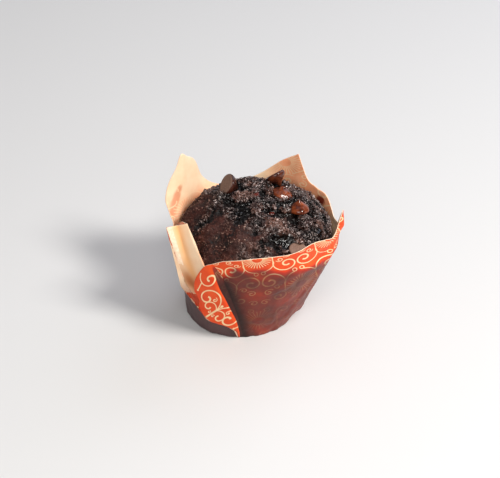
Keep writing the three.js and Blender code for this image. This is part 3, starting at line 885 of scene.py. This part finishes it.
def bar(tree, spot, start, end, half):
    """How far inside a straight stroke with round ends a place is, in mm. With no length it is a dot."""
    way = Vector((*end, 0)) - Vector((*start, 0))
    near = add(tree, "VectorMath", [spot, (*start, 0)], operation="SUBTRACT")
    along = way / max(way.length_squared, 1e-6)
    along = add(tree, "VectorMath", [near, along], operation="DOT_PRODUCT")
    share = add(tree, "Math", [along, 0.0], operation="ADD", use_clamp=True)
    foot = add(tree, "VectorMath", {"Vector": way, "Scale": share}, operation="SCALE")
    aside = add(tree, "VectorMath", [near, foot], operation="DISTANCE")
    return add(tree, "Math", [half, aside], operation="SUBTRACT")


def loop(tree, spot, centre, radius, half):
    """How far inside a small ring's stroke a place is, in mm."""
    far = add(tree, "VectorMath", [spot, (*centre, 0)], operation="DISTANCE")
    aside = add(tree, "Math", [far, radius], operation="SUBTRACT")
    aside = add(tree, "Math", [aside], operation="ABSOLUTE")
    return add(tree, "Math", [half, aside], operation="SUBTRACT")


def sun(tree, spot, middle, inner, outer, rays, half):
    """How far inside the rays round a middle a place is, in mm."""
    near = add(tree, "VectorMath", [spot, (*middle, 0)], operation="SUBTRACT")
    xy = add(tree, "SeparateXYZ", [near])
    far = add(tree, "VectorMath", [near], operation="LENGTH")
    angle = add(tree, "Math", [xy.outputs["Y"], xy.outputs["X"]], operation="ARCTAN2")
    step = math.tau / rays
    turn = add(tree, "Math", [angle, step / 2, -step / 2], operation="WRAP")
    turn = add(tree, "Math", [turn], operation="ABSOLUTE")
    aside = add(tree, "Math", [turn, far], operation="MULTIPLY")
    inside = add(tree, "Math", [half, aside], operation="SUBTRACT")
    from_inner = add(tree, "Math", [far, inner], operation="SUBTRACT")
    to_outer = add(tree, "Math", [outer, far], operation="SUBTRACT")
    inside = add(tree, "Math", [inside, from_inner], operation="MINIMUM")
    return add(tree, "Math", [inside, to_outer], operation="MINIMUM")


def inked(tree, strokes):
    """Joins strokes and gives 1 where there is ink, with a soft edge."""
    joined = strokes[0]
    for stroke in strokes[1:]:
        joined = add(tree, "Math", [joined, stroke], operation="MAXIMUM")
    return add(tree, "MapRange", [joined, -INK_EDGE / 2, INK_EDGE / 2, 0.0, 1.0])


# %% [markdown]
# The scrollwork repeats: every cell is mirrored left and right, and each second row is
# turned upside down and moved half a cell along. So the place on the sheet is folded
# into one half cell first, and the strokes are drawn once. The band that is folded over
# shows one large palmette instead, which is mirrored left and right only.

# %% Scrollwork and palmette
HALF_CELL = 16.8         # mm from one mirror line to the next
ROW = 22.4               # mm from one row to the next


def folded_place(tree):
    """The place on the sheet, folded into the half cell that holds the strokes."""
    xy = add(tree, "SeparateXYZ", [add(tree, "UVMap", uv_map="sheet")])
    a = add(tree, "Math", [xy.outputs["X"], HALF_CELL], operation="PINGPONG")
    b = add(tree, "Math", [xy.outputs["Y"], ROW / 2, -1.5 * ROW], operation="WRAP")
    lower = add(tree, "Math", [b, -ROW / 2], operation="LESS_THAN")
    turned_a = add(tree, "Math", [HALF_CELL, a], operation="SUBTRACT")
    turned_b = add(tree, "Math", [-ROW, b], operation="SUBTRACT")
    a = add(tree, "Mix", [lower, a, turned_a])
    b = add(tree, "Mix", [lower, b, turned_b])
    return add(tree, "CombineXYZ", [a, b, 0.0])


# a curl is given by its middle, its reach, where it starts in degrees and its turns, a sun
# by its middle, the rays' inner and outer end and their number
def scrollwork(tree):
    """1 where the repeated scrollwork is printed."""
    at = folded_place(tree)
    return inked(tree, [
        curl(tree, at, (12.8, -6.2), 6.6, 156, 1.45, tighten=1.23, pen=(0.24, 0.5)),
        bar(tree, at, (6.8, -3.6), (6.9, 1.5), 0.24),
        curl(tree, at, (1.2, -3.4), 5.8, 7, 0.25, way=-1, tighten=0.02, pen=(0.24, 0.2)),
        loop(tree, at, (1.6, -10.1), 0.9, 0.2),
        curl(tree, at, (9.9, -2.2), 1.8, 190, 1.2, tighten=1.0, pen=(0.16, 0.3)),
        curl(tree, at, (13.4, 0.6), 2.2, 215, 1.25, tighten=1.1, pen=(0.18, 0.34)),
        curl(tree, at, (9.3, 5.4), 3.6, 250, 1.3, way=-1, tighten=1.2, pen=(0.2, 0.42)),
        curl(tree, at, (3.2, 8.6), 1.7, 60, 1.2, tighten=1.0, pen=(0.16, 0.3)),
        curl(tree, at, (14.6, 7.8), 2.1, 200, 1.2, tighten=1.1, pen=(0.16, 0.34)),
        sun(tree, at, (0, 1.1), 2.4, 6.9, 30, 0.19),
    ])


def palmette(tree):
    """1 where the large palmette of the folded-over band is printed."""
    xy = add(tree, "SeparateXYZ", [add(tree, "UVMap", uv_map="sheet")])
    side = add(tree, "Math", [xy.outputs["X"]], operation="ABSOLUTE")
    at = add(tree, "CombineXYZ", [side, xy.outputs["Y"], 0.0])
    return inked(tree, [
        curl(tree, at, (7.7, 0.7), 7.7, 185, 1.35, way=-1),
        curl(tree, at, (3.8, -1.4), 4.05, 160, 1.05, way=-1, pen=(0.2, 0.4)),
        curl(tree, at, (4.9, 2.9), 1.4, 60, 1.2, pen=(0.16, 0.3)),
        curl(tree, at, (1.4, -2.9), 0.9, 60, 1.1, pen=(0.14, 0.24)),
        curl(tree, at, (15, 7.2), 5.2, -19, 1.35, way=-1, pen=(0.22, 0.45)),
        bar(tree, at, (15.7, 2.9), (13.7, -0.9), 0.26),
        bar(tree, at, (13.7, -0.9), (13.7, -0.9), 0.5),
        bar(tree, at, (0, -5.4), (0, 0), 0.45),
        bar(tree, at, (0, 0), (0, 3.3), 0.2),
        bar(tree, at, (0, 3.3), (0, 3.3), 0.6),
    ])


# %% [markdown]
# ## Greaseproof paper
# Printed greaseproof is thin and slightly waxy, so a crease shines softly. Where it
# touches the hot muffin it soaks up fat: the orange turns a deep red brown, the pale
# lines sink to tan and the surface gets smoother. How soaked each place is comes from
# the mesh, since it depends on where the paper lies, and the edge of the stain is broken
# up by noise.

# %% Printed side of the paper
FIBRE = 1.2              # mm, a real fibre cloud is finer, but would not show
FIBRE_DEPTH = 0.12       # mm
STAIN = 9.0              # mm across the clouds of a fat stain
WORN_UP_TO = (6, 30)     # mm up, between which the print on soaked paper comes back
WORN = 0.35              # how much of it is left below


def printed_paper(name, pattern):
    """The printed side, with one or the other pattern."""
    made, tree = material(name)
    spot = add(tree, "TexCoord").outputs["Object"]
    soaked, faded, creased = (
        add(tree, "Attribute", attribute_name=key).outputs["Fac"] for key in ("soaked", "faded", "creased"))
    ink = pattern(tree)
    clouds = add(tree, "TexNoise", {
        "Vector": spot, "Scale": 1 / (STAIN * MM), "Detail": 3.0, "Roughness": 0.55})
    fibre = add(tree, "TexNoise", {
        "Vector": spot, "Scale": 1 / (FIBRE * MM), "Detail": 3.0, "Roughness": 0.6})
    dry_ground = add(tree, "ValToRGB", [clouds], stops=[(0.3, "#E74312"), (0.7, "#F35A20")])
    soaked_ground = add(tree, "ValToRGB", [clouds], stops=[
        (0.3, "#5A2E29"), (0.45, "#6E2F26"), (0.58, "#7D3024"), (0.75, "#963420")])
    soaked_ink = add(tree, "ValToRGB", [clouds], stops=[(0.35, "#6E4433"), (0.65, "#A06A48")])
    wicking = add(tree, "MapRange", [soaked, 0.0, 0.5, 0.0, 1.0])
    wet_edge = add(tree, "Mix", [wicking, dry_ground, srgb("#B8301C")], data_type="RGBA")
    fully = add(tree, "MapRange", [soaked, 0.4, 1.0, 0.0, 1.0])
    ground = add(tree, "Mix", [fully, wet_edge, soaked_ground], data_type="RGBA")
    line = add(tree, "Mix", [soaked, srgb("#FFDDAA"), soaked_ink], data_type="RGBA")
    height = add(tree, "SeparateXYZ", [spot]).outputs["Z"]
    kept = add(tree, "MapRange", [height, WORN_UP_TO[0] * MM, WORN_UP_TO[1] * MM, WORN, 1.0])
    kept = add(tree, "Mix", [soaked, 1.0, kept])
    not_faded = add(tree, "MapRange", [faded, 0.0, 0.8, 1.0, 0.0])
    kept = add(tree, "Math", [kept, not_faded], operation="MULTIPLY")
    kept = add(tree, "Math", [ink, kept], operation="MULTIPLY")
    colour = add(tree, "Mix", [kept, ground, line], data_type="RGBA")
    colour = add(tree, "Mix", [faded, colour, srgb("#5A4343")], data_type="RGBA")
    # painted shade: where little light gets in, by the band's ridge and on the strip's sliver, the paper is
    # darkened
    colour = add(tree, "Mix", [creased, colour, srgb("#2A1411")], data_type="RGBA")
    waxy = add(tree, "MapRange", [soaked, 0.0, 1.0, 0.55, 0.42])
    texture = add(tree, "Bump", {"Height": fibre, "Strength": 0.25, "Distance": FIBRE_DEPTH * MM})
    paper = add(tree, "BsdfPrincipled", {
        "Base Color": colour, "Roughness": waxy, "IOR": 1.45, "Specular IOR Level": 0.25,
        "Normal": texture})
    add(tree, "OutputMaterial", [paper])
    print(name, len(tree.nodes), "nodes")
    return made


printed = printed_paper("printed_greaseproof", scrollwork)
printed_band = printed_paper("printed_greaseproof_fold", palmette)

# %% [markdown]
# The side that faces the muffin is the same paper without a print: cream, and more golden
# deep in a crease, which holds warm light. Fat stains make it pinker, and so does painted
# light that shines through it from behind; both let the print on the other side show
# through as a faint pale ghost. Painted shade darkens it to a deep red brown low in the
# strip and in its pocket, and a spot in the fold of the right rear petal gets the same
# dark colour. The cut edge shows the bare fibre, and is paler and duller than both sides.

# %% Plain side of the paper
GHOST = 0.7              # how strongly the print shows through where fat has soaked in and where painted light shines through
DRY_PAPER = 0.55         # roughness

plain, tree = material("plain_greaseproof")
spot = add(tree, "TexCoord").outputs["Object"]
golden, fat_and_light_tan, stained, creased = (
    add(tree, "Attribute", attribute_name=key).outputs["Fac"]
    for key in ("golden", "fat_and_light_tan", "stained", "creased"))
clouds = add(tree, "TexNoise", {
    "Vector": spot, "Scale": 1 / (STAIN * MM), "Detail": 3.0, "Roughness": 0.6})
fibre = add(tree, "TexNoise", {
    "Vector": spot, "Scale": 1 / (FIBRE * MM), "Detail": 3.0, "Roughness": 0.6})
cream = add(tree, "ValToRGB", [clouds], stops=[(0.3, "#F2C9A2"), (0.7, "#F8DAB8")])
colour = add(tree, "Mix", [golden, cream, srgb("#E5973C")], data_type="RGBA")
# one tan for fat stains and for painted light that shines through the paper
fat_and_light_tone = add(tree, "ValToRGB", [clouds], stops=[(0.35, "#F89E70"), (0.65, "#FFB68C")])
colour = add(tree, "Mix", [fat_and_light_tan, colour, fat_and_light_tone], data_type="RGBA")
print_behind = scrollwork(tree)
shows = add(tree, "Math", [fat_and_light_tan, stained], operation="MAXIMUM")
colour = add(tree, "Mix", [stained, colour, srgb("#D27C55")], data_type="RGBA")
shows = add(tree, "Math", [shows, GHOST], operation="MULTIPLY")
ghost = add(tree, "Math", [print_behind, shows], operation="MULTIPLY")
colour = add(tree, "Mix", [ghost, colour, srgb("#FFDCB0")], data_type="RGBA")
# painted shade: low in the strip and in its pocket the plain side is darkened to red brown, and a spot in the
# rear petal's fold gets the same colour
colour = add(tree, "Mix", [creased, colour, srgb("#84301B")], data_type="RGBA")
texture = add(tree, "Bump", {"Height": fibre, "Strength": 0.25, "Distance": FIBRE_DEPTH * MM})
paper = add(tree, "BsdfPrincipled", {
    "Base Color": colour, "Roughness": DRY_PAPER, "IOR": 1.45, "Normal": texture})
add(tree, "OutputMaterial", [paper])
print(plain.name, len(tree.nodes), "nodes")

# %% Cut edge of the paper
BARE_FIBRE = 0.75        # roughness

cut_edge, tree = material("cut_paper_edge")
spot = add(tree, "TexCoord").outputs["Object"]
fibre = add(tree, "TexNoise", {"Vector": spot, "Scale": 1 / (FIBRE * MM), "Detail": 2.0})
pale = add(tree, "ValToRGB", [fibre], stops=[(0.3, "#F0CBA8"), (0.7, "#FAE3CB")])
add(tree, "OutputMaterial", [add(tree, "BsdfPrincipled", {"Base Color": pale, "Roughness": BARE_FIBRE})])

# %% [markdown]
# ## The wrap
# Baking leaves the paper crinkled: finely where it is pressed to the muffin, in wider soft
# waves where it stands free, and in upright gathers round the foot, where most of the
# sheet is too wide. The front also has a few creases and pinches of its own. All of them
# move the grid along its normals.

# %% Crinkles
TIGHT_CRINKLE = 0.16     # mm, pressed to the muffin
LOOSE_CRINKLE = 0.3      # mm, standing free
STANDS_FREE = (38, 52)   # mm up, from pressed to free
PLEAT_SHARE = 0.6        # of these crinkles that the folded band keeps
BASE_CRINKLE = 0.45      # mm, where the sheet is gathered round the foot
GATHERED = (2, 14)       # mm up, where the gathers fade
# creases and pinches of the front: from and to as azimuth and height, height in mm, half width
CREASES = [
    ((-24, 42), (-33, 24), 0.5, 1.3), ((-16, 40), (-27, 18), -0.5, 1.4), ((-36, 20), (-44, 8), 0.4, 1.2),
    ((-14, 4.5), (-8, 3.5), 1.3, 2.3), ((-9, 13), (-3, 12), -0.5, 2.0), ((-78, 30), (-62, 33), 0.35, 1.0),
    ((-55, 37), (-38, 33), -0.35, 1.3), ((-84, 12), (-64, 9), 0.3, 1.1),
]


def sheet_grain(size, seed, upwards=1.0):
    """Smooth noise over the sheet, with lumps of a size in mm that may be drawn out upwards."""
    return grain(flat_sheet * [1, 1, upwards], size, seed, 2).reshape(sheet_height.shape)


up_sheet = np.gradient(sheet, axis=1)
across_sheet = (np.roll(sheet, -1, axis=0) - np.roll(sheet, 1, axis=0)) / 2
normals = np.cross(across_sheet, up_sheet)
normals /= np.maximum(np.linalg.norm(normals, axis=2), 1e-9)[..., None]
free = blend_in(sheet_height, *STANDS_FREE)
tight, loose = sheet_grain(2.6, 11, upwards=0.6), sheet_grain(11, 12)
crinkle = TIGHT_CRINKLE * tight * (1 - 0.6 * free) + LOOSE_CRINKLE * loose * free
crinkle[BACK:] *= PLEAT_SHARE
gathers = sheet_grain(4.5, 14, upwards=0.15)
crinkle += BASE_CRINKLE * gathers * (1 - blend_in(sheet_height, *GATHERED))
for start, end, rise, width in CREASES:
    start, end = place(*start, PAPER_OFF), place(*end, PAPER_OFF)
    aside = away_from_line(sheet[:WALL], start, end)
    crinkle[:WALL] += rise * np.exp(-(np.maximum(aside - 1, 0) / width) ** 2)
crinkled = sheet + normals * crinkle[..., None]
crinkled[..., 2] = np.maximum(crinkled[..., 2], PAPER_FOOT)
print("crinkles, mm:", crinkle.min().round(2), "to", crinkle.max().round(2))

# %% [markdown]
# The grid is one closed strip, so it gets a floor at the bottom, and a solidify modifier
# gives it a thickness. That modifier also chooses materials by counting on in the list: a
# face of the sheet wears one, the other side the next and its cut edge the one after that.
# So the list below holds both sides in turn, and each part of the sheet says where to
# start. The pleat's back turns its plain side out, except where the strip was folded over.

# %% Wrap mesh
PAPER = 0.28             # mm, greaseproof paper drawn a little thick, so that its edge shows
WRAP_MATERIALS = [printed, plain, cut_edge, printed_band, plain, cut_edge]

columns = len(sheet)
wrap_points = np.concatenate([crinkled.reshape(-1, 3), [[0, 0, PAPER_FOOT]]])
wrap_faces = grid_faces(columns, ROWS, closed=True)
middle = len(wrap_points) - 1
wrap_faces += [((i + 1) * ROWS, i * ROWS, middle) for i in range(WALL)] + [(0, WALL * ROWS, middle)]
wrap = piece("tulip_wrap", wrap_points, wrap_faces, WRAP_MATERIALS)

# %% [markdown]
# The print needs to know where each point lies on the flat sheet, and a UV map can hold
# that in millimetres. The wall is a cone, which unrolls into a fan. The sheet was pulled
# askew when it was pressed in, so a few shares bend that fan into line. The folded parts
# are laid out by how far they run, or by three marks on the palmette that lies there.

# %% Place on the flat sheet
CONE_BELOW = 88.0        # mm below the table, where the wrap's cone would come to a point
CONE_SLOPE = math.atan((WIDEST_RADIUS - BASE_RADIUS) / WIDEST_HEIGHT)
SUN_AT = (-88.2, 51.6)   # azimuth and height of a sun of the print, on the front's cut edge
UPRIGHT_AT = -109.0      # azimuth where the print stands upright
# The print lies at these shares of u, v, 1, uu and uv, where u and v are millimetres across
# and up from that sun. The pull shows at the front only, so u is held between two ends.
SHEET_PULL = np.array([[1.091, -0.128], [0.035, 1.043], [0.75, 0.05], [-0.002, 0.0083], [0.0062, -0.0058]])
PULLED_FROM_TO = (-18, 42)
# three marks on the folded band, as share across and share up, and where they lie on its print
BAND_MARKS = [((0.337, 0.604), (0, 0)), ((0.033, 0.682), (0, -5.4)), ((0.467, 0.76), (7.7, 0.7))]
TURNED_BELOW = 23.0      # mm up, where the pleat's back is turned under and shows its print


def on_cone(azimuth, height):
    """Millimetres across and up the flat sheet, from a place on the wall."""
    turn = np.radians(azimuth) * math.sin(CONE_SLOPE)
    far = (height + CONE_BELOW) / math.cos(CONE_SLOPE)
    return np.stack([far * np.sin(turn), far * np.cos(turn)], -1)


def run_across(part):
    """Millimetres across and up, measured along a folded part."""
    sideways = np.linalg.norm(np.diff(part, axis=0), axis=2).mean(axis=1)
    upwards = np.linalg.norm(np.diff(part, axis=1), axis=2).mean(axis=0)
    x, y = np.concatenate([[0], np.cumsum(sideways)]), np.concatenate([[0], np.cumsum(upwards)])
    return np.stack(np.broadcast_arrays(x[:, None], y[None, :]), -1)


wall_height = sheet_height[:WALL + 1]
wall_rows = np.concatenate([edge_rows, RIM[-1:]])
edge_azimuths, base_azimuths, edge_heights = (wall_rows[:, k:k + 1] for k in range(3))
wall_azimuth = base_azimuths + (edge_azimuths - base_azimuths) * (wall_height / edge_heights)
sun_turn, sun_height = SUN_AT
laid = on_cone(wall_azimuth - UPRIGHT_AT, wall_height) - on_cone(sun_turn - UPRIGHT_AT, sun_height)
u, v = np.clip(laid[..., 0], *PULLED_FROM_TO), laid[..., 1]
pulled = np.stack([u, v, np.ones_like(u), u ** 2, u * v], -1) @ SHEET_PULL

closed_sheet = np.concatenate([sheet, sheet[:1]])
back_part, band_part = closed_sheet[WALL:BACK + 1], closed_sheet[BACK:BAND + 1]
last_column, last_row = len(band_part) - 1, ROWS - 1
marks = np.array([band_part[round(x * last_column), round(y * last_row)] for (x, y), _ in BAND_MARKS])
on_print = np.array([print_place for _, print_place in BAND_MARKS], float)
to_print, *_ = np.linalg.lstsq(marks[1:] - marks[0], on_print[1:] - on_print[0], rcond=None)
turned_under = back_part[..., 2:] < TURNED_BELOW
layouts = [
    laid - np.stack([u, v], -1) + pulled,
    np.where(turned_under, (back_part - marks[0]) @ to_print, run_across(back_part)),
    (band_part - marks[0]) @ to_print,
    run_across(closed_sheet[BAND:]),
]
corners = [np.stack([part[:-1, :-1], part[1:, :-1], part[1:, 1:], part[:-1, 1:]], axis=2).reshape(-1, 2)
           for part in layouts]
floor_corners = np.zeros((3 * (WALL + 1), 2))
layout = wrap.data.uv_layers.new(name="sheet")
layout.data.foreach_set("uv", np.concatenate([*corners, floor_corners]).ravel())
print("print round the wall spans, mm:", np.ptp(layouts[0], axis=(0, 1)).round())

# %% [markdown]
# The upright strip of the pleat shows its plain side. Where it is folded once more at its
# tip it wears the paler bare paper of the cut edge, which also stands in as painted light on
# that lit face. A sliver of print looks out past that fold, and low down the strip is turned
# under, so that the band's print goes on there.

# %% Which side shows
# where a face starts in the list of materials: the wall and the band with their print
# outside, and the strip's inner side with a pale fold that stands in for painted light,
# or with the band's print
WALL_PRINT, LIT_PALE_FOLD, STRIP_PRINT, BAND_PRINT = range(4)
TIP_FOLD = (0.2, 0.36)   # from and to, as shares across the strip
LOW_FOLD, LOW_FOLD_UP_TO = 0.26, 38.0    # where that fold starts instead, below a height in mm
SLIVER, SLIVER_UP = 0.246, (40, 57)      # share across from which it shows, and mm up
TURNED_SHARE = 0.8       # share of the strip that is turned under

finish = np.full((columns, ROWS - 1), WALL_PRINT)
finish[BACK:BAND] = BAND_PRINT
strip_finish, strip_up = finish[WALL:BACK], sheet_height[WALL:BACK, :-1]
share_across = np.arange(BACK - WALL)[:, None] / (BACK - WALL)
fold_from = np.where(strip_up > LOW_FOLD_UP_TO, TIP_FOLD[0], LOW_FOLD)
strip_finish[(share_across > fold_from) & (share_across < TIP_FOLD[1])] = LIT_PALE_FOLD
strip_finish[(strip_up < TURNED_BELOW) & (share_across < TURNED_SHARE)] = STRIP_PRINT
in_sliver = (strip_up > SLIVER_UP[0]) & (strip_up < SLIVER_UP[1])
strip_finish[in_sliver & (share_across > SLIVER) & (share_across < TIP_FOLD[1])] = STRIP_PRINT
face_finish = np.zeros(len(wrap_faces), int)
face_finish[:finish.size] = finish.ravel()
wrap.data.polygons.foreach_set("material_index", face_finish)
print("faces that start at each place of the list:", np.bincount(face_finish).tolist())

# %% [markdown]
# Fat rose in the paper to a line that wanders round the wrap, and at the left the wall is
# so dark with it that no print is seen. On the inner sides of the petals a tan comes up
# from the cake, part fat stain and part painted warm shade, and there are small spots of
# fat. The right rear petal has the same tan all over, as painted light that shines through
# the paper from behind. All this is worked out at each point, with a broad noise that
# frays the edges, and kept on the mesh.

# %% Where the paper is soaked
# line that the fat rose to: azimuth and height in mm
SOAK_LINE = np.array([
    (-119, 34), (-113, 38), (-104, 44), (-80, 43.5), (-60, 41), (-40, 37), (-20, 37), (10, 40),
    (40, 44), (100, 44), (200, 43)])
SOAK_FRAY, SOAK_BLEND = 2.2, 3    # mm, how far that line wanders and half its soft edge
PLEAT_AZIMUTH = -90.0    # taken for the whole pleat
FADED_FROM, FADED_TOP = (176, 196), (50, 56)    # dull brown at the left: degrees and mm up
LIT_THROUGH_FROM, LIT_THROUGH_TO = (14, 26), (66, 84)     # right rear petal, with painted light shining through it, in degrees
TAN_TOP, TAN_FRAY = (41, 52), 3    # mm up, where the tan of the other petals ends, part fat and part painted warm shade
TAN_PAST = 100           # degrees, where they begin
# spots on the inner sides of the petals: from, to and half width in mm
SPOTS = [((-27.2, 16.3, 53.4), (-27.4, 15.8, 52.6), 1.2), ((-28.2, 14.4, 50.8), (-30.6, 8.2, 45.2), 1.6)]
SPOT_STRENGTH = 0.75
# pointed petal, stained all over: azimuth, degrees from there and mm up
POINTED_AT, POINTED_ENDS, POINTED_UP = -22, (12, 18), (42, 48)

azimuth = np.full(sheet_height.shape, PLEAT_AZIMUTH)
azimuth[:WALL + 1] = wall_azimuth
fray = sheet_grain(8, 21)
soak_line = np.interp(azimuth, *SOAK_LINE.T)
soaked = 1 - blend_in(sheet_height + SOAK_FRAY * fray, soak_line - SOAK_BLEND, soak_line + SOAK_BLEND)
soaked[WALL:BAND] = 0
faded = blend_in(azimuth, *FADED_FROM) * (1 - blend_in(sheet_height, *FADED_TOP))
# painted light shining through the right rear petal
fat_and_light_tan = blend_in(azimuth, *LIT_THROUGH_FROM) * (1 - blend_in(azimuth, *LIT_THROUGH_TO))
# by the cake the tan is part fat stain and part painted warm shade
by_cake = 1 - blend_in(sheet_height + TAN_FRAY * fray, *TAN_TOP)
fat_and_light_tan = np.maximum(fat_and_light_tan, by_cake * (azimuth > TAN_PAST))
stained = np.zeros(sheet_height.shape)
for start, end, radius in SPOTS:
    from_spot = away_from_line(sheet, start, end) + 0.5 * fray
    stained = np.maximum(stained, SPOT_STRENGTH * (1 - blend_in(from_spot, radius - 0.4, radius + 0.5)))
pointed = 1 - blend_in(np.abs(wall_azimuth - POINTED_AT), *POINTED_ENDS)
pointed = pointed * blend_in(wall_height, *POINTED_UP)
stained[:WALL + 1] = np.maximum(stained[:WALL + 1], pointed)
print("soaked share of the sheet:", soaked.mean().round(2))

# %% [markdown]
# A crease is darker than the paper round it, because little light gets into it. Between
# two pale sheets it also glows: light goes to and fro in it and comes out warm. Both are
# kept on the points like the stains, as creased and golden.

# %% Creases
GLOW_WIDTH = 2.6         # mm, of the warm light held in the corner crease
GLOW_LOW, GLOW_FADES = 0.35, (20, 30)    # share that is gone above these mm up
CREASE_SHADE = 5.2       # mm, how far the dark of the front crease reaches
CREASE_TOP = (34, 42)    # mm up, where it ends
STRIP_SHADE, STRIP_TOP = 0.45, (24, 33)  # how dark the strip is low down, and mm up
FALL_SHADE, FALL_TOP = 0.9, (33, 41)     # and the fall behind the band's ridge
# amber pocket of painted shade and warm glow, where the sheet dips behind the band:
# share across the strip and mm up
POCKET_AT, POCKET_SIZE, POCKET_SHADE = (0.2, 29.5), (0.06, 6.0), 0.75
# darker spot in the fold of the right rear petal: middle in mm, its shape, and where it ends
FOLD_SPOT, FOLD_SPOT_SHAPE, FOLD_SPOT_ENDS = np.array([36.6, 20.5, 44.0]), [1.5, 1.2, 1], (1.7, 2.3)

golden = np.exp(-(away(sheet, pleat_line(CORNER_CREASE)) / GLOW_WIDTH) ** 2)
golden *= 1 - GLOW_LOW * blend_in(sheet_height, *GLOW_FADES)
golden[:WALL] = 0
golden[BACK:] = 0
creased = np.exp(-(away(sheet, valley) / CREASE_SHADE) ** 2) * (1 - blend_in(sheet_height, *CREASE_TOP))
strip_height, strip_creased = sheet_height[WALL:BACK], creased[WALL:BACK]
strip_creased[...] = STRIP_SHADE * (1 - blend_in(strip_height, *STRIP_TOP))
# the sliver of print past the tip fold gets the strip's painted shade too
on_sliver = (share_across > SLIVER + 0.01) & (share_across < TIP_FOLD[1])
strip_creased[(strip_height > SLIVER_UP[0]) & on_sliver] = STRIP_SHADE
pocket = np.exp(-((share_across - POCKET_AT[0]) / POCKET_SIZE[0]) ** 2
                - ((strip_height - POCKET_AT[1]) / POCKET_SIZE[1]) ** 2)
golden[WALL:BACK] = np.maximum(golden[WALL:BACK], pocket)
strip_creased[...] = np.maximum(strip_creased, POCKET_SHADE * pocket)
creased[BACK:BAND] = 0
creased[BAND:] = FALL_SHADE * (1 - blend_in(sheet_height[BAND:], *FALL_TOP))
from_spot = np.linalg.norm((sheet - FOLD_SPOT) / FOLD_SPOT_SHAPE, axis=2)
creased = np.maximum(creased, 1 - blend_in(from_spot, *FOLD_SPOT_ENDS))
print("darkened points:", int((creased > 0.1).sum()), "of", creased.size)

# %% Finish of the wrap
wrap_values = {"soaked": soaked, "faded": faded, "fat_and_light_tan": fat_and_light_tan,
               "golden": golden, "stained": stained, "creased": creased}
for name, values in wrap_values.items():
    at_foot = 1 if name == "soaked" else 0
    paint_points(wrap, name, np.append(values.ravel(), at_foot))

thicken = wrap.modifiers.new("thickness", "SOLIDIFY")
thicken.thickness = PAPER * MM
thicken.offset = 0
thicken.material_offset = 1
thicken.material_offset_rim = 2
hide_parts("paper_wrap")
